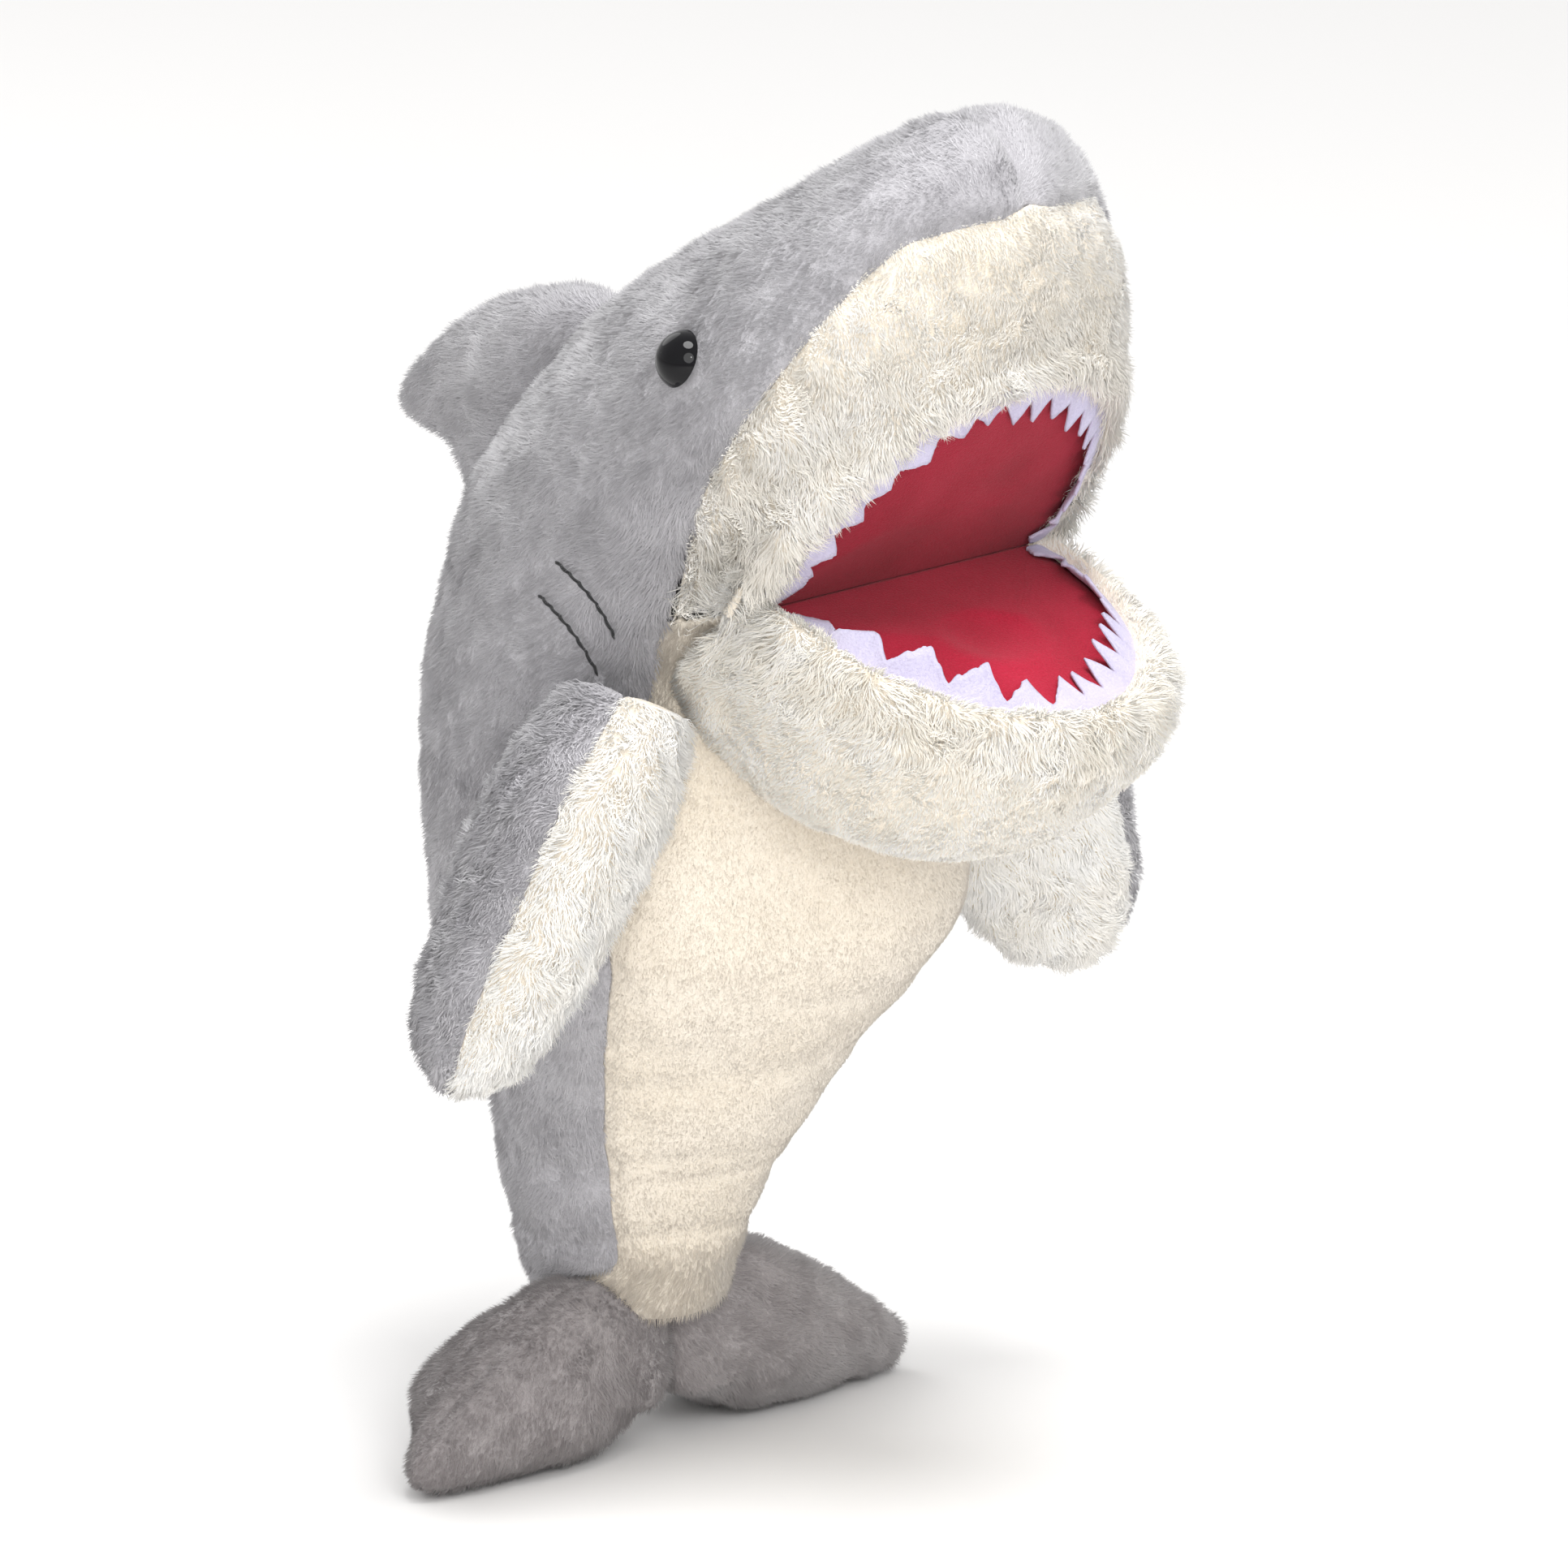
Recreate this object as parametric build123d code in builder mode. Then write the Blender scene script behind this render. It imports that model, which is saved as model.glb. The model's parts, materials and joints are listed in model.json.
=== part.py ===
from build123d import *
from math import cos, radians, sin
import os

os.makedirs("parts", exist_ok=True)

# A stuffed shark that stands on its tail flukes with its mouth wide open.
# It faces -Y and is symmetric about X = 0. Heights are above the floor.
# "Forward" is the distance in front of the middle of the flukes' front edge.
foot_y = 38.3  # how far that edge stands behind the middle of the whole toy's box

skin = 4.0  # plush, backing and the fibre that clings to it
wadding = 3.0  # packed fibre inside the skin
air = 0.6  # room between bodies that move against each other
fit = 0.1  # room between pieces that are sewn or glued together

hinge_forward, hinge_height = 91.0, 274.0  # the fold line of the mouth
palate_up, palate_down = 52.0, -20.0  # slopes of the two palates, in degrees
neck_slope = 145.0  # slope of the cut between snout and body
palate_half_width, palate_length = 57.0, 80.0
palate_straight = 12.0  # straight run of the palate's edge beside the fold
board, felt, tooth_felt = 2.0, 1.5, 1.2
lip_width, lip_height, lip_bevel = 15.0, 7.0, 3.0
lip_angle = 8.5  # what lies on a palate stays within this wedge, so that the mouth shuts
tooth_depth, tooth_base = 11.0, 3.0
teeth_above, teeth_below = 19, 15
teeth_margin = 0.04  # share of the palate's edge left bare at each corner

# Ribs of the body: forward, height, lean of the spine, half width, half depth.
ribs = [
    (-17, 50, 0, 30, 29),
    (-14, 80, 6, 39, 38),
    (-5, 106, 12, 53, 52),
    (4, 136, 10, 69, 67),
    (6, 170, 0, 76, 74),
    (6, 214, 3, 77, 75),
    (15, 256, 17, 77, 75),
    (32, 288, 37, 77, 70),
    (56, 308, 54, 76, 63),
    (85, 327, 58, 75, 61),
    (115, 352, 66, 66, 57),
    (128, 364, 76, 56, 54),
    (138, 370, 84, 42, 46),
    (147, 370, 89, 24, 33),
]

# The seam between grey and cream in the side view, from the tail to the nose.
colour_seam = [
    (-30, 44), (6, 56), (9, 76), (15, 102), (27, 128), (42, 158),
    (48, 205), (58, 258), (84, 309), (115, 356), (134, 386), (168, 400),
]

eye_forward, eye_height, eye_side = 75.0, 347.3, 70.4
eye_normal = (0.9, 0.23, 0.37)  # across, back and up
eye_radius, eye_bulge, shank_radius, shank_length = 8.5, 6.5, 2.0, 13.0
eye_ball = (eye_radius**2 + eye_bulge**2) / (2 * eye_bulge)  # radius of the eye's dome
washer_radius, washer_thick = 7.0, 1.5
thread_radius = 0.8
beyond = 200.0  # reach of a cutting solid, past any side of the toy
gills = [
    ((32, 280, 77.3), (44, 272, 78.2), (53, 260, 75.0)),
    ((25, 269, 79.0), (36, 262, 79.6), (46, 252, 76.6)),
]

# Pectoral fin: forward, height, side, half chord, half thickness.
pectoral_ribs = [
    (46, 236, 66, 30, 22),
    (45, 214, 80, 36, 26),
    (43, 184, 95, 34, 25),
    (41, 156, 110, 29, 21),
    (40, 134, 121, 20, 15),
    (40, 127, 125, 9, 7),
]
pectoral_lean, pectoral_turn = 30.0, 40.0
shoulder_height = 252.0

dorsal_axis_low, dorsal_axis_high = (-76, 274), (-56, 320)  # root line
dorsal_thick, dorsal_bevel, dorsal_core_bevel = 26.0, 7.0, 2.0
dorsal_outline = [
    (-58, 326), (-74, 322), (-90, 313), (-102, 301), (-105, 291), (-99, 285), (-90, 278), (-82, 267),
]

bag_top = 118.0  # how high the beads reach in the tail
jaw_back_slope = -89.5  # the jaw's rear wall, just clear of straight down

fluke_front, fluke_back = 10.0, -56.0
fluke_top = 49.4
fluke_outline = [
    (0.3, fluke_top), (0.3, 13), (12, 11), (22, 6), (30, 0), (92, 0), (99, 2), (104, 8),
    (103, 14), (98, 20), (86, 28), (66, 39), (48, 46), (30, fluke_top),
]
fluke_seam_forward = -2.0  # where the front and back panels are sewn together
fluke_plan = [  # seen from above: side, forward
    (0, fluke_front), (92, fluke_front), (104, 2), (104, -6), (54, fluke_back), (0, fluke_back),
]


def place(forward, height, side=0):
    """A point of the toy in the row frame."""
    return Vector(side, foot_y - forward, height)


def rib_plane(forward, height, lean):
    """The plane across the spine, its local Y towards the back."""
    normal = (0, -sin(radians(lean)), cos(radians(lean)))
    return Plane(origin=place(forward, height), x_dir=(1, 0, 0), z_dir=normal)


def hull(inset, stations):
    """The body's outer shape, drawn in by the inset all round."""
    with BuildPart() as shape:
        for number, (forward, height, lean, half_width, half_depth) in enumerate(stations):
            plane = rib_plane(forward, height, lean)
            if number == 0:
                plane = plane.offset(inset)
            nose_share = max(0, number - len(stations) + 4) / 3
            plane = plane.offset(-inset * nose_share)
            with BuildSketch(plane):
                Ellipse(max(half_width - inset, 4), max(half_depth - inset, 4))
        loft()
    return shape.part


def side_prism(outline):
    """Everything within an outline of the side view, right across the toy."""
    with BuildPart() as prism:
        with BuildSketch(Plane.YZ) as face:
            with BuildLine():
                Polyline([(foot_y - f, h) for f, h in outline], close=True)
            make_face()
        extrude(amount=beyond, both=True)
    return prism.part


def cream_zone():
    """Everything in front of the colour seam."""
    with BuildPart() as zone:
        with BuildSketch(Plane.YZ):
            with BuildLine():
                seam = Spline([(foot_y - f, h) for f, h in colour_seam])
                Polyline(
                    seam @ 1, (foot_y - beyond, colour_seam[-1][1]), (foot_y - beyond, 20),
                    (foot_y - colour_seam[0][0], 20), seam @ 0
                )
            make_face()
        extrude(amount=beyond, both=True)
    return zone.part


def sector(low, high, reach=2 * beyond, shift=0.0):
    """The wedge about the mouth's fold between two slopes, in degrees."""
    middle = radians((low + high) / 2)
    centre = (hinge_forward + shift * cos(middle), hinge_height + shift * sin(middle))
    steps = [low + (high - low) * i / 4 for i in range(5)]
    rim = [
        (centre[0] + reach * cos(radians(a)), centre[1] + reach * sin(radians(a)))
        for a in steps
    ]
    return side_prism([centre, *rim])


def eye_frame(sign):
    """The plane that an eye sits on, its local Z pointing out of the head."""
    across, back, up = eye_normal
    return Plane(
        origin=place(eye_forward, eye_height, sign * eye_side), z_dir=(sign * across, back, up)
    )


def palate_plane(slope, upper):
    """The palate's plane: local Y runs out from the fold, local Z into the mouth."""
    out = (0, -cos(radians(slope)), sin(radians(slope)))
    into = (0, -sin(radians(slope)), -cos(radians(slope)))
    if not upper:
        into = (0, sin(radians(slope)), cos(radians(slope)))
    across = Vector(*out).cross(Vector(*into))
    return Plane(origin=place(hinge_forward, hinge_height), x_dir=across, z_dir=into)


def palate_outline(grow):
    """The U of the palate's edge as a face, grown all round by a width."""
    half_width, length = palate_half_width + grow, palate_length + grow
    with BuildSketch() as outline:
        with BuildLine():
            Line((half_width, air), (half_width, palate_straight))
            EllipticalCenterArc(
                (0, palate_straight), half_width, length - palate_straight, arc_size=180
            )
            Line((-half_width, palate_straight), (-half_width, air))
            Line((-half_width, air), (half_width, air))
        make_face()
    return outline.sketch


def palate_edge(share, inset):
    """A point of the palate's edge, from 0 at one corner to 1 at the other."""
    angle = 180 * share
    half_width = palate_half_width - inset
    length = palate_length - palate_straight - inset
    rise = palate_straight * (1 - abs(2 * share - 1)) ** 0.5
    return (half_width * cos(radians(angle)), rise + length * sin(radians(angle)) + air)


def save(piece, label):
    """Name a finished piece and write its file."""
    piece.label = label
    export_step(piece, f"parts/{label}.step")


def palate_sheet(plane, low, high, room, label):
    """A flat piece with the palate's outline, between two heights off its plane."""
    with BuildPart() as sheet:
        with BuildSketch(plane.offset(low)):
            add(palate_outline(0))
        extrude(amount=high - low)
        add(room, mode=Mode.INTERSECT)
    save(sheet.part, label)


def teeth_strip(plane, count, room, label):
    """A felt strip on the palate whose inner edge is cut into points."""
    with BuildPart() as strip:
        with BuildSketch(plane.offset(felt + fit)):
            add(palate_outline(-fit))
            with BuildLine():
                points = []
                for i in range(2 * count + 1):
                    inset = tooth_base if i % 2 == 0 else tooth_depth
                    share = teeth_margin + (1 - 2 * teeth_margin) * i / (2 * count)
                    points.append(palate_edge(share, inset))
                Polyline(points + [(points[-1][0], -5), (points[0][0], -5)], close=True)
            make_face(mode=Mode.SUBTRACT)
        extrude(amount=tooth_felt)
        add(room, mode=Mode.INTERSECT)
    save(strip.part, label)


def lip(plane, room, label):
    """The rolled lip round the palate."""
    with BuildPart() as roll:
        with BuildSketch(plane.offset(fit)):
            add(palate_outline(lip_width))
            add(palate_outline(fit), mode=Mode.SUBTRACT)
        extrude(amount=lip_height)
        chamfer(roll.faces().sort_by(Axis(plane.origin, plane.z_dir))[-1].edges(), lip_bevel)
        add(room, mode=Mode.INTERSECT)
    save(roll.part, label)


outer_hull = hull(0, ribs)
inner_hull = hull(skin, ribs)
core_hull = hull(skin + wadding, ribs)
cream = cream_zone()
upper = palate_plane(palate_up, True)
lower = palate_plane(palate_down, False)
snout_wedge = sector(palate_up, neck_slope, shift=air / 2)
body_wedge = sector(neck_slope, 270, shift=air)

# Jaw block: the chin and the cheeks behind it, as slices under the lower palate.
# Slices: depth, half width, length in front of the fold, length behind it.
jaw_slices = [(0, 72, 92, 46), (16, 74, 93, 46), (38, 67, 83, 46), (56, 50, 62, 40), (68, 26, 34, 30)]


def jaw_shape(inset, drop=0.0):
    """The jaw block drawn in by the inset, from a drop below the palate."""
    with BuildPart() as block:
        for depth, half_width, front, back in jaw_slices:
            share = depth / jaw_slices[-1][0]
            across, ahead = half_width - inset, front - palate_straight - inset
            with BuildSketch(lower.offset(-drop - depth + share * (inset + drop))):
                with BuildLine():
                    Line((across, -back), (across, palate_straight))
                    EllipticalCenterArc((0, palate_straight), across, ahead, arc_size=180)
                    Line((-across, palate_straight), (-across, -back))
                    Line((-across, -back), (across, -back))
                make_face()
        loft()
    return block.part


# Body: two grey back panels, the cream belly panel, wadding and a bead bag.
with BuildPart() as body_outer:
    add(outer_hull)
    add(jaw_shape(0))
    add(body_wedge, mode=Mode.INTERSECT)
with BuildPart() as body_skin:
    add(body_outer.part)
    add(inner_hull, mode=Mode.SUBTRACT)

with BuildPart() as belly_panel:
    add(body_skin.part)
    add(cream, mode=Mode.INTERSECT)
save(belly_panel.part, "belly_panel")

for side, keep in (("left", Keep.TOP), ("right", Keep.BOTTOM)):
    with BuildPart() as back_panel:
        add(body_skin.part)
        add(cream, mode=Mode.SUBTRACT)
        split(bisect_by=Plane.YZ, keep=keep)
    save(back_panel.part, f"back_panel_{side}")

with BuildPart() as body_filling:
    add(inner_hull)
    add(core_hull, mode=Mode.SUBTRACT)
    add(body_wedge, mode=Mode.INTERSECT)
save(body_filling.part, "body_filling")

with BuildPart() as tail_bead_bag:
    add(hull(skin + wadding + 1, ribs))
    split(bisect_by=Plane.XY.offset(bag_top), keep=Keep.BOTTOM)
save(tail_bead_bag.part, "tail_bead_bag")

# Gill lines: two runs of thread on each side, laid on the plush.
with BuildPart() as gill_stitches:
    for route in gills:
        with BuildLine():
            thread = ThreePointArc(*[place(f, h, x + thread_radius) for f, h, x in route])
        with BuildSketch(Plane(origin=thread @ 0, z_dir=thread % 0)):
            Circle(thread_radius)
        sweep(path=thread)
    mirror(about=Plane.YZ)
save(gill_stitches.part, "gill_stitches")

# Snout: grey halves, cream muzzle, wadding, palate, lip, teeth and eyes.
with BuildPart() as snout_skin:
    add(outer_hull)
    add(inner_hull, mode=Mode.SUBTRACT)
    add(snout_wedge, mode=Mode.INTERSECT)
    for sign in (-1, 1):
        with Locations(eye_frame(sign)):
            Cylinder(shank_radius + fit, 2 * shank_length, mode=Mode.SUBTRACT)

with BuildPart() as muzzle_panel:
    add(snout_skin.part)
    add(cream, mode=Mode.INTERSECT)
save(muzzle_panel.part, "muzzle_panel")

for side, keep in (("left", Keep.TOP), ("right", Keep.BOTTOM)):
    with BuildPart() as snout_panel:
        add(snout_skin.part)
        add(cream, mode=Mode.SUBTRACT)
        split(bisect_by=Plane.YZ, keep=keep)
    save(snout_panel.part, f"snout_panel_{side}")

with BuildPart() as snout_filling:
    add(inner_hull)
    add(core_hull, mode=Mode.SUBTRACT)
    add(snout_wedge, mode=Mode.INTERSECT)
    for sign in (-1, 1):
        with Locations(eye_frame(sign)):
            Cylinder(washer_radius + 1, 3 * shank_length, mode=Mode.SUBTRACT)
    with BuildSketch(upper.offset(-board - fit)):
        Rectangle(2 * beyond, 2 * beyond)
    extrude(amount=beyond, mode=Mode.SUBTRACT)
save(snout_filling.part, "snout_filling")

upper_room = sector(palate_up - lip_angle, palate_up, shift=1)
palate_sheet(upper, -board, -fit, hull(skin + fit, ribs), "upper_mouth_board")
palate_sheet(upper, 0, felt, upper_room, "upper_palate_felt")
teeth_strip(upper, teeth_above, upper_room, "upper_teeth")
lip(upper, upper_room, "upper_lip")

for side, sign in (("left", 1), ("right", -1)):
    outward = eye_frame(sign)
    with BuildPart() as eye:
        with Locations((0, 0, eye_bulge - eye_ball)):
            Sphere(eye_ball)
        split(bisect_by=Plane.XY, keep=Keep.TOP)
        with Locations((0, 0, -shank_length)):
            Cylinder(
                shank_radius, shank_length, align=(Align.CENTER, Align.CENTER, Align.MIN)
            )
    save(outward.location * eye.part, f"eye_{side}")
    with BuildPart() as washer:
        with BuildSketch(outward.offset(-skin - washer_thick)):
            Circle(washer_radius)
            Circle(shank_radius + fit / 2, mode=Mode.SUBTRACT)
        extrude(amount=-washer_thick)
    save(washer.part, f"eye_washer_{side}")

# Jaw: cream chin, wadding, palate, lip and teeth.
jaw_wedge = sector(jaw_back_slope, palate_down, shift=air / 2)


def jaw_core(wall):
    """The inside of the jaw, a wall's thickness in from its skin."""
    with BuildPart() as core:
        add(jaw_shape(wall, board + fit))
        add(sector(jaw_back_slope, palate_down, shift=wall), mode=Mode.INTERSECT)
    return core.part


with BuildPart() as chin_panel:
    add(jaw_shape(0))
    add(jaw_wedge, mode=Mode.INTERSECT)
    add(jaw_core(skin), mode=Mode.SUBTRACT)
    with BuildSketch(lower):
        add(palate_outline(fit))
    extrude(amount=-board - 2 * fit, mode=Mode.SUBTRACT)
save(chin_panel.part, "chin_panel")

with BuildPart() as jaw_filling:
    add(jaw_core(skin + fit))
    add(jaw_core(skin + wadding), mode=Mode.SUBTRACT)
save(jaw_filling.part, "jaw_filling")

lower_room = sector(palate_down, palate_down + lip_angle, shift=1)
palate_sheet(lower, -board, -fit, jaw_wedge, "lower_mouth_board")
palate_sheet(lower, 0, felt, lower_room, "lower_palate_felt")
teeth_strip(lower, teeth_below, lower_room, "lower_teeth")
lip(lower, lower_room, "lower_lip")


# Dorsal fin: a swept-back fin on a rounded root, in two panels.
def dorsal(inset):
    """The dorsal fin's shape, drawn in by the inset all round."""
    half = dorsal_thick / 2 - inset
    low, high = place(*dorsal_axis_low), place(*dorsal_axis_high)
    with BuildPart() as fin:
        with BuildSketch(Plane.YZ):
            with BuildLine():
                Polyline([(foot_y - f, h) for f, h in dorsal_outline], close=True)
            make_face()
            if inset:
                offset(amount=-inset, kind=Kind.INTERSECTION)
        extrude(amount=half, both=True)
        outline = fin.faces().filter_by(Axis.X).edges()
        chamfer(outline, dorsal_core_bevel if inset else dorsal_bevel)
        with Locations(Plane(origin=low, z_dir=high - low)):
            Cylinder(half, (high - low).length, align=(Align.CENTER, Align.CENTER, Align.MIN))
    return fin.part


dorsal_shell = dorsal(0)
dorsal_core = dorsal(skin)
for side, keep in (("left", Keep.TOP), ("right", Keep.BOTTOM)):
    with BuildPart() as dorsal_panel:
        add(dorsal_shell)
        add(dorsal_core, mode=Mode.SUBTRACT)
        split(bisect_by=Plane.YZ, keep=keep)
    save(dorsal_panel.part, f"dorsal_panel_{side}")
with BuildPart() as dorsal_filling:
    add(dorsal(skin + fit))
save(dorsal_filling.part, "dorsal_filling")


# Pectoral fins: plump and tapered, grey outside and cream inside.
def pectoral(inset):
    """The left fin's shape, drawn in by the inset all round."""
    lean, turn = radians(pectoral_lean), radians(pectoral_turn)
    down = Vector(sin(lean), 0, -cos(lean))
    lead = Vector(sin(turn), -cos(turn), 0)
    lead = (lead - down * lead.dot(down)).normalized()
    with BuildPart() as fin:
        for number, (forward, height, side, chord, thick) in enumerate(pectoral_ribs):
            plane = Plane(origin=place(forward, height, side), x_dir=lead, z_dir=down)
            if number == len(pectoral_ribs) - 1:
                plane = plane.offset(-inset)
            with BuildSketch(plane):
                Ellipse(chord - inset, thick - inset)
        loft()
        add(hull(-air - inset, ribs), mode=Mode.SUBTRACT)
        add(jaw_shape(-air - inset, -air - inset), mode=Mode.SUBTRACT)
        with Locations(place(0, shoulder_height - inset)):
            Box(
                2 * beyond, 2 * beyond, beyond,
                align=(Align.CENTER, Align.CENTER, Align.MIN), mode=Mode.SUBTRACT
            )
    return fin.part, Plane(
        origin=place(*pectoral_ribs[2][:3]), x_dir=lead, z_dir=down.cross(lead)
    )


fin_shape, fin_seam = pectoral(0)
fin_core = pectoral(skin)[0]
fin_wadding, fin_hollow = pectoral(skin + fit)[0], pectoral(skin + wadding)[0]
for side, flip in (("left", False), ("right", True)):
    for colour, keep in (("cream", Keep.TOP), ("grey", Keep.BOTTOM)):
        with BuildPart() as pectoral_panel:
            add(fin_shape)
            add(fin_core, mode=Mode.SUBTRACT)
            split(bisect_by=fin_seam, keep=keep)
            if flip:
                mirror(about=Plane.YZ, mode=Mode.REPLACE)
        save(pectoral_panel.part, f"pectoral_{side}_{colour}_panel")
    with BuildPart() as pectoral_filling:
        add(fin_wadding)
        add(fin_hollow, mode=Mode.SUBTRACT)
        if flip:
            mirror(about=Plane.YZ, mode=Mode.REPLACE)
    save(pectoral_filling.part, f"pectoral_{side}_filling")


# Tail flukes: two drooping paddles that the toy stands on, with bead bags inside.
def fluke(inset):
    """The left fluke's shape, drawn in by the inset all round."""
    with BuildPart() as paddle:
        with BuildSketch(Plane.XZ.offset(fluke_front - foot_y)):
            with BuildLine():
                Polyline(fluke_outline, close=True)
            make_face()
            if inset:
                offset(amount=-inset, kind=Kind.INTERSECTION)
        extrude(amount=-(fluke_front - fluke_back))
        with BuildSketch(Plane.XY):
            with BuildLine():
                Polyline([(x, foot_y - f) for x, f in fluke_plan], close=True)
            make_face()
            if inset:
                offset(amount=-inset, kind=Kind.INTERSECTION)
        extrude(amount=fluke_top + fit, mode=Mode.INTERSECT)
    return paddle.part


fluke_seam = Plane.XZ.offset(fluke_seam_forward - foot_y)
fluke_shape, fluke_core = fluke(0), fluke(skin)
fluke_beads = fluke(skin + fit)
for side, flip in (("left", False), ("right", True)):
    for face, keep in (("front", Keep.TOP), ("back", Keep.BOTTOM)):
        with BuildPart() as fluke_panel:
            add(fluke_shape)
            add(fluke_core, mode=Mode.SUBTRACT)
            split(bisect_by=fluke_seam, keep=keep)
            if flip:
                mirror(about=Plane.YZ, mode=Mode.REPLACE)
        save(fluke_panel.part, f"fluke_{side}_{face}_panel")
    with BuildPart() as bead_bag:
        add(fluke_beads)
        if flip:
            mirror(about=Plane.YZ, mode=Mode.REPLACE)
    save(bead_bag.part, f"fluke_{side}_bead_bag")
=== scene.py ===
import json
import math

import bmesh
import bpy
import numpy as np
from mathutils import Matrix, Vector
from mathutils.bvhtree import BVHTree

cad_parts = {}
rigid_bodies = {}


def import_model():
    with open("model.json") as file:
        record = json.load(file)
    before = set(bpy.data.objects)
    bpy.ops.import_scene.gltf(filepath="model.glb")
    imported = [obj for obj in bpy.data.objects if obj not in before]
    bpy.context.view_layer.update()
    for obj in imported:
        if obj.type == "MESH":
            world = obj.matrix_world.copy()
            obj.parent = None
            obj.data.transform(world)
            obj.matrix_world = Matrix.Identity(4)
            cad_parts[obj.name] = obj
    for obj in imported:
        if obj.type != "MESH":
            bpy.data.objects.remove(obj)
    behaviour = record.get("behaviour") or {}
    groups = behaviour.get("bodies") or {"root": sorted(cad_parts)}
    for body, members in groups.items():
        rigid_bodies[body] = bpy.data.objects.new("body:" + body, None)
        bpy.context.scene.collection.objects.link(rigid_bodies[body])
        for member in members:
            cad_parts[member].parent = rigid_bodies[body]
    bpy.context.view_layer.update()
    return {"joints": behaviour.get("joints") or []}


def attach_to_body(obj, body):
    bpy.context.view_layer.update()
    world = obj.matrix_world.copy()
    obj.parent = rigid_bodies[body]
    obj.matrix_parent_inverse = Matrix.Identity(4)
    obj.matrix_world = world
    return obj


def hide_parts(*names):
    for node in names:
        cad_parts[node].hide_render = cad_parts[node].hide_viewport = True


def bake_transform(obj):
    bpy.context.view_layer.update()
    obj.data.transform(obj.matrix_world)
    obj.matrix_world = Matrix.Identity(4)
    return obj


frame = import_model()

# All shapes below are worked out in millimetres as (side, back, height) and
# turned into metres when a mesh is made. "Forward" is measured from the middle
# of the flukes' front edge, as in the frame, so back = foot - forward.
MM = 0.001
joints = {joint["name"]: joint for joint in frame["joints"]}
FOLD_FORWARD, FOLD_HEIGHT = 91.0, 274.0
foot = joints["snout_fold"]["pos_m"][1] / MM + FOLD_FORWARD
SLOPE_UP, SLOPE_DOWN = math.radians(52), math.radians(-20)

# ---------------------------------------------------------------- shapes

# Ribs of the stuffed body: forward, height, lean of the spine, half width, half depth.
HULL_RIBS = np.array([
    (-17, 30, 0, 14, 13),
    (-17, 38, 0, 29, 28),
    (-17, 50, 0, 34, 33),
    (-15, 80, 6, 43, 42),
    (-8, 106, 12, 50, 49.5),
    (-3, 136, 10, 65, 64),
    (12.5, 170, 0, 76, 82.5),
    (11, 214, 3, 77, 84),
    (15, 256, 17, 77, 76),
    (32, 288, 37, 77, 67.5),
    (56, 308, 54, 76, 66),
    (85, 327, 58, 75, 63),
    (115, 352, 66, 66, 58),
    (128, 364, 76, 56, 54),
    (137, 370, 84, 41.5, 46),
    (145, 370, 89, 24, 33),
    (148.5, 370, 90, 15, 22),
    (150.3, 370, 90, 7, 10),
    (150.8, 370, 90, 0.5, 0.5),
], float)

# The seam between grey and cream in the side view: forward, height.
COLOUR_SEAM = np.array([
    (-30, 30), (-30, 44), (6, 56), (9, 76), (15, 102), (27, 128), (42, 158), (48, 205),
    (58, 258), (84, 309), (115, 356), (134, 386), (168, 400), (300, 440),
], float)

DORSAL_OUTLINE = [
    (-26, 337), (-47, 337), (-75, 327), (-96, 313), (-109, 299), (-110, 290), (-99, 285),
    (-88, 281), (-79, 269), (-62, 260), (-35, 287), (-18, 322),
]
FLUKE_OUTLINE = [
    (0, 50), (-2, 30), (2, 13), (13, 9), (23, 4), (34, 0.8), (60, 0.3), (90, 0.6), (98, 2.5),
    (101.5, 7.5), (100, 13.5), (93, 20), (80, 29.5), (63, 40.5), (47, 49), (28, 54),
]
PECTORAL_RIBS = np.array([
    (46, 240, 62, 28, 20),
    (46, 230, 70, 33, 24),
    (45, 212, 82.5, 37, 27),
    (43, 186, 97.5, 35.5, 26),
    (41, 160, 113, 30.5, 22.5),
    (40, 144, 122.5, 22.5, 16.5),
    (40, 137.5, 126.2, 13, 9.5),
    (40, 134.2, 128.2, 5.5, 4.5),
    (40, 133.2, 128.8, 0.5, 0.5),
], float)
PECTORAL_LEAN, PECTORAL_TURN = math.radians(30), math.radians(40)

GILLS = (
    ((31, 281), (45, 271), (58, 256)),
    ((24, 270), (37, 261), (51, 248)),
)
EYE = (75.0, 347.3, 70.4)


def run_along(points):
    """The distance along a line of points, from its first one."""
    return np.concatenate([[0], np.cumsum(np.linalg.norm(np.diff(points, axis=0), axis=1))])


def smooth_curve(knots, values, at):
    """Monotone cubic through rows of values, with no overshoot."""
    knots, values, at = (np.asarray(a, float) for a in (knots, values, at))
    step = np.diff(knots)[:, None]
    slope = np.diff(values, axis=0) / step
    tangent = np.zeros_like(values)
    tangent[0], tangent[-1] = slope[0], slope[-1]
    before, after = slope[:-1], slope[1:]
    same = before * after > 0
    w1, w2 = 2 * step[1:] + step[:-1], step[1:] + 2 * step[:-1]
    with np.errstate(divide="ignore", invalid="ignore"):
        mean = (w1 + w2) / (w1 / before + w2 / after)
    tangent[1:-1] = np.where(same, mean, 0)
    i = np.clip(np.searchsorted(knots, at, side="right") - 1, 0, len(knots) - 2)
    h = step[i]
    t = ((at - knots[i]) / h[:, 0])[:, None]
    return (
        (2 * t**3 - 3 * t**2 + 1) * values[i]
        + (t**3 - 2 * t**2 + t) * h * tangent[i]
        + (3 * t**2 - 2 * t**3) * values[i + 1]
        + (t**3 - t**2) * h * tangent[i + 1]
    )


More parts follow.
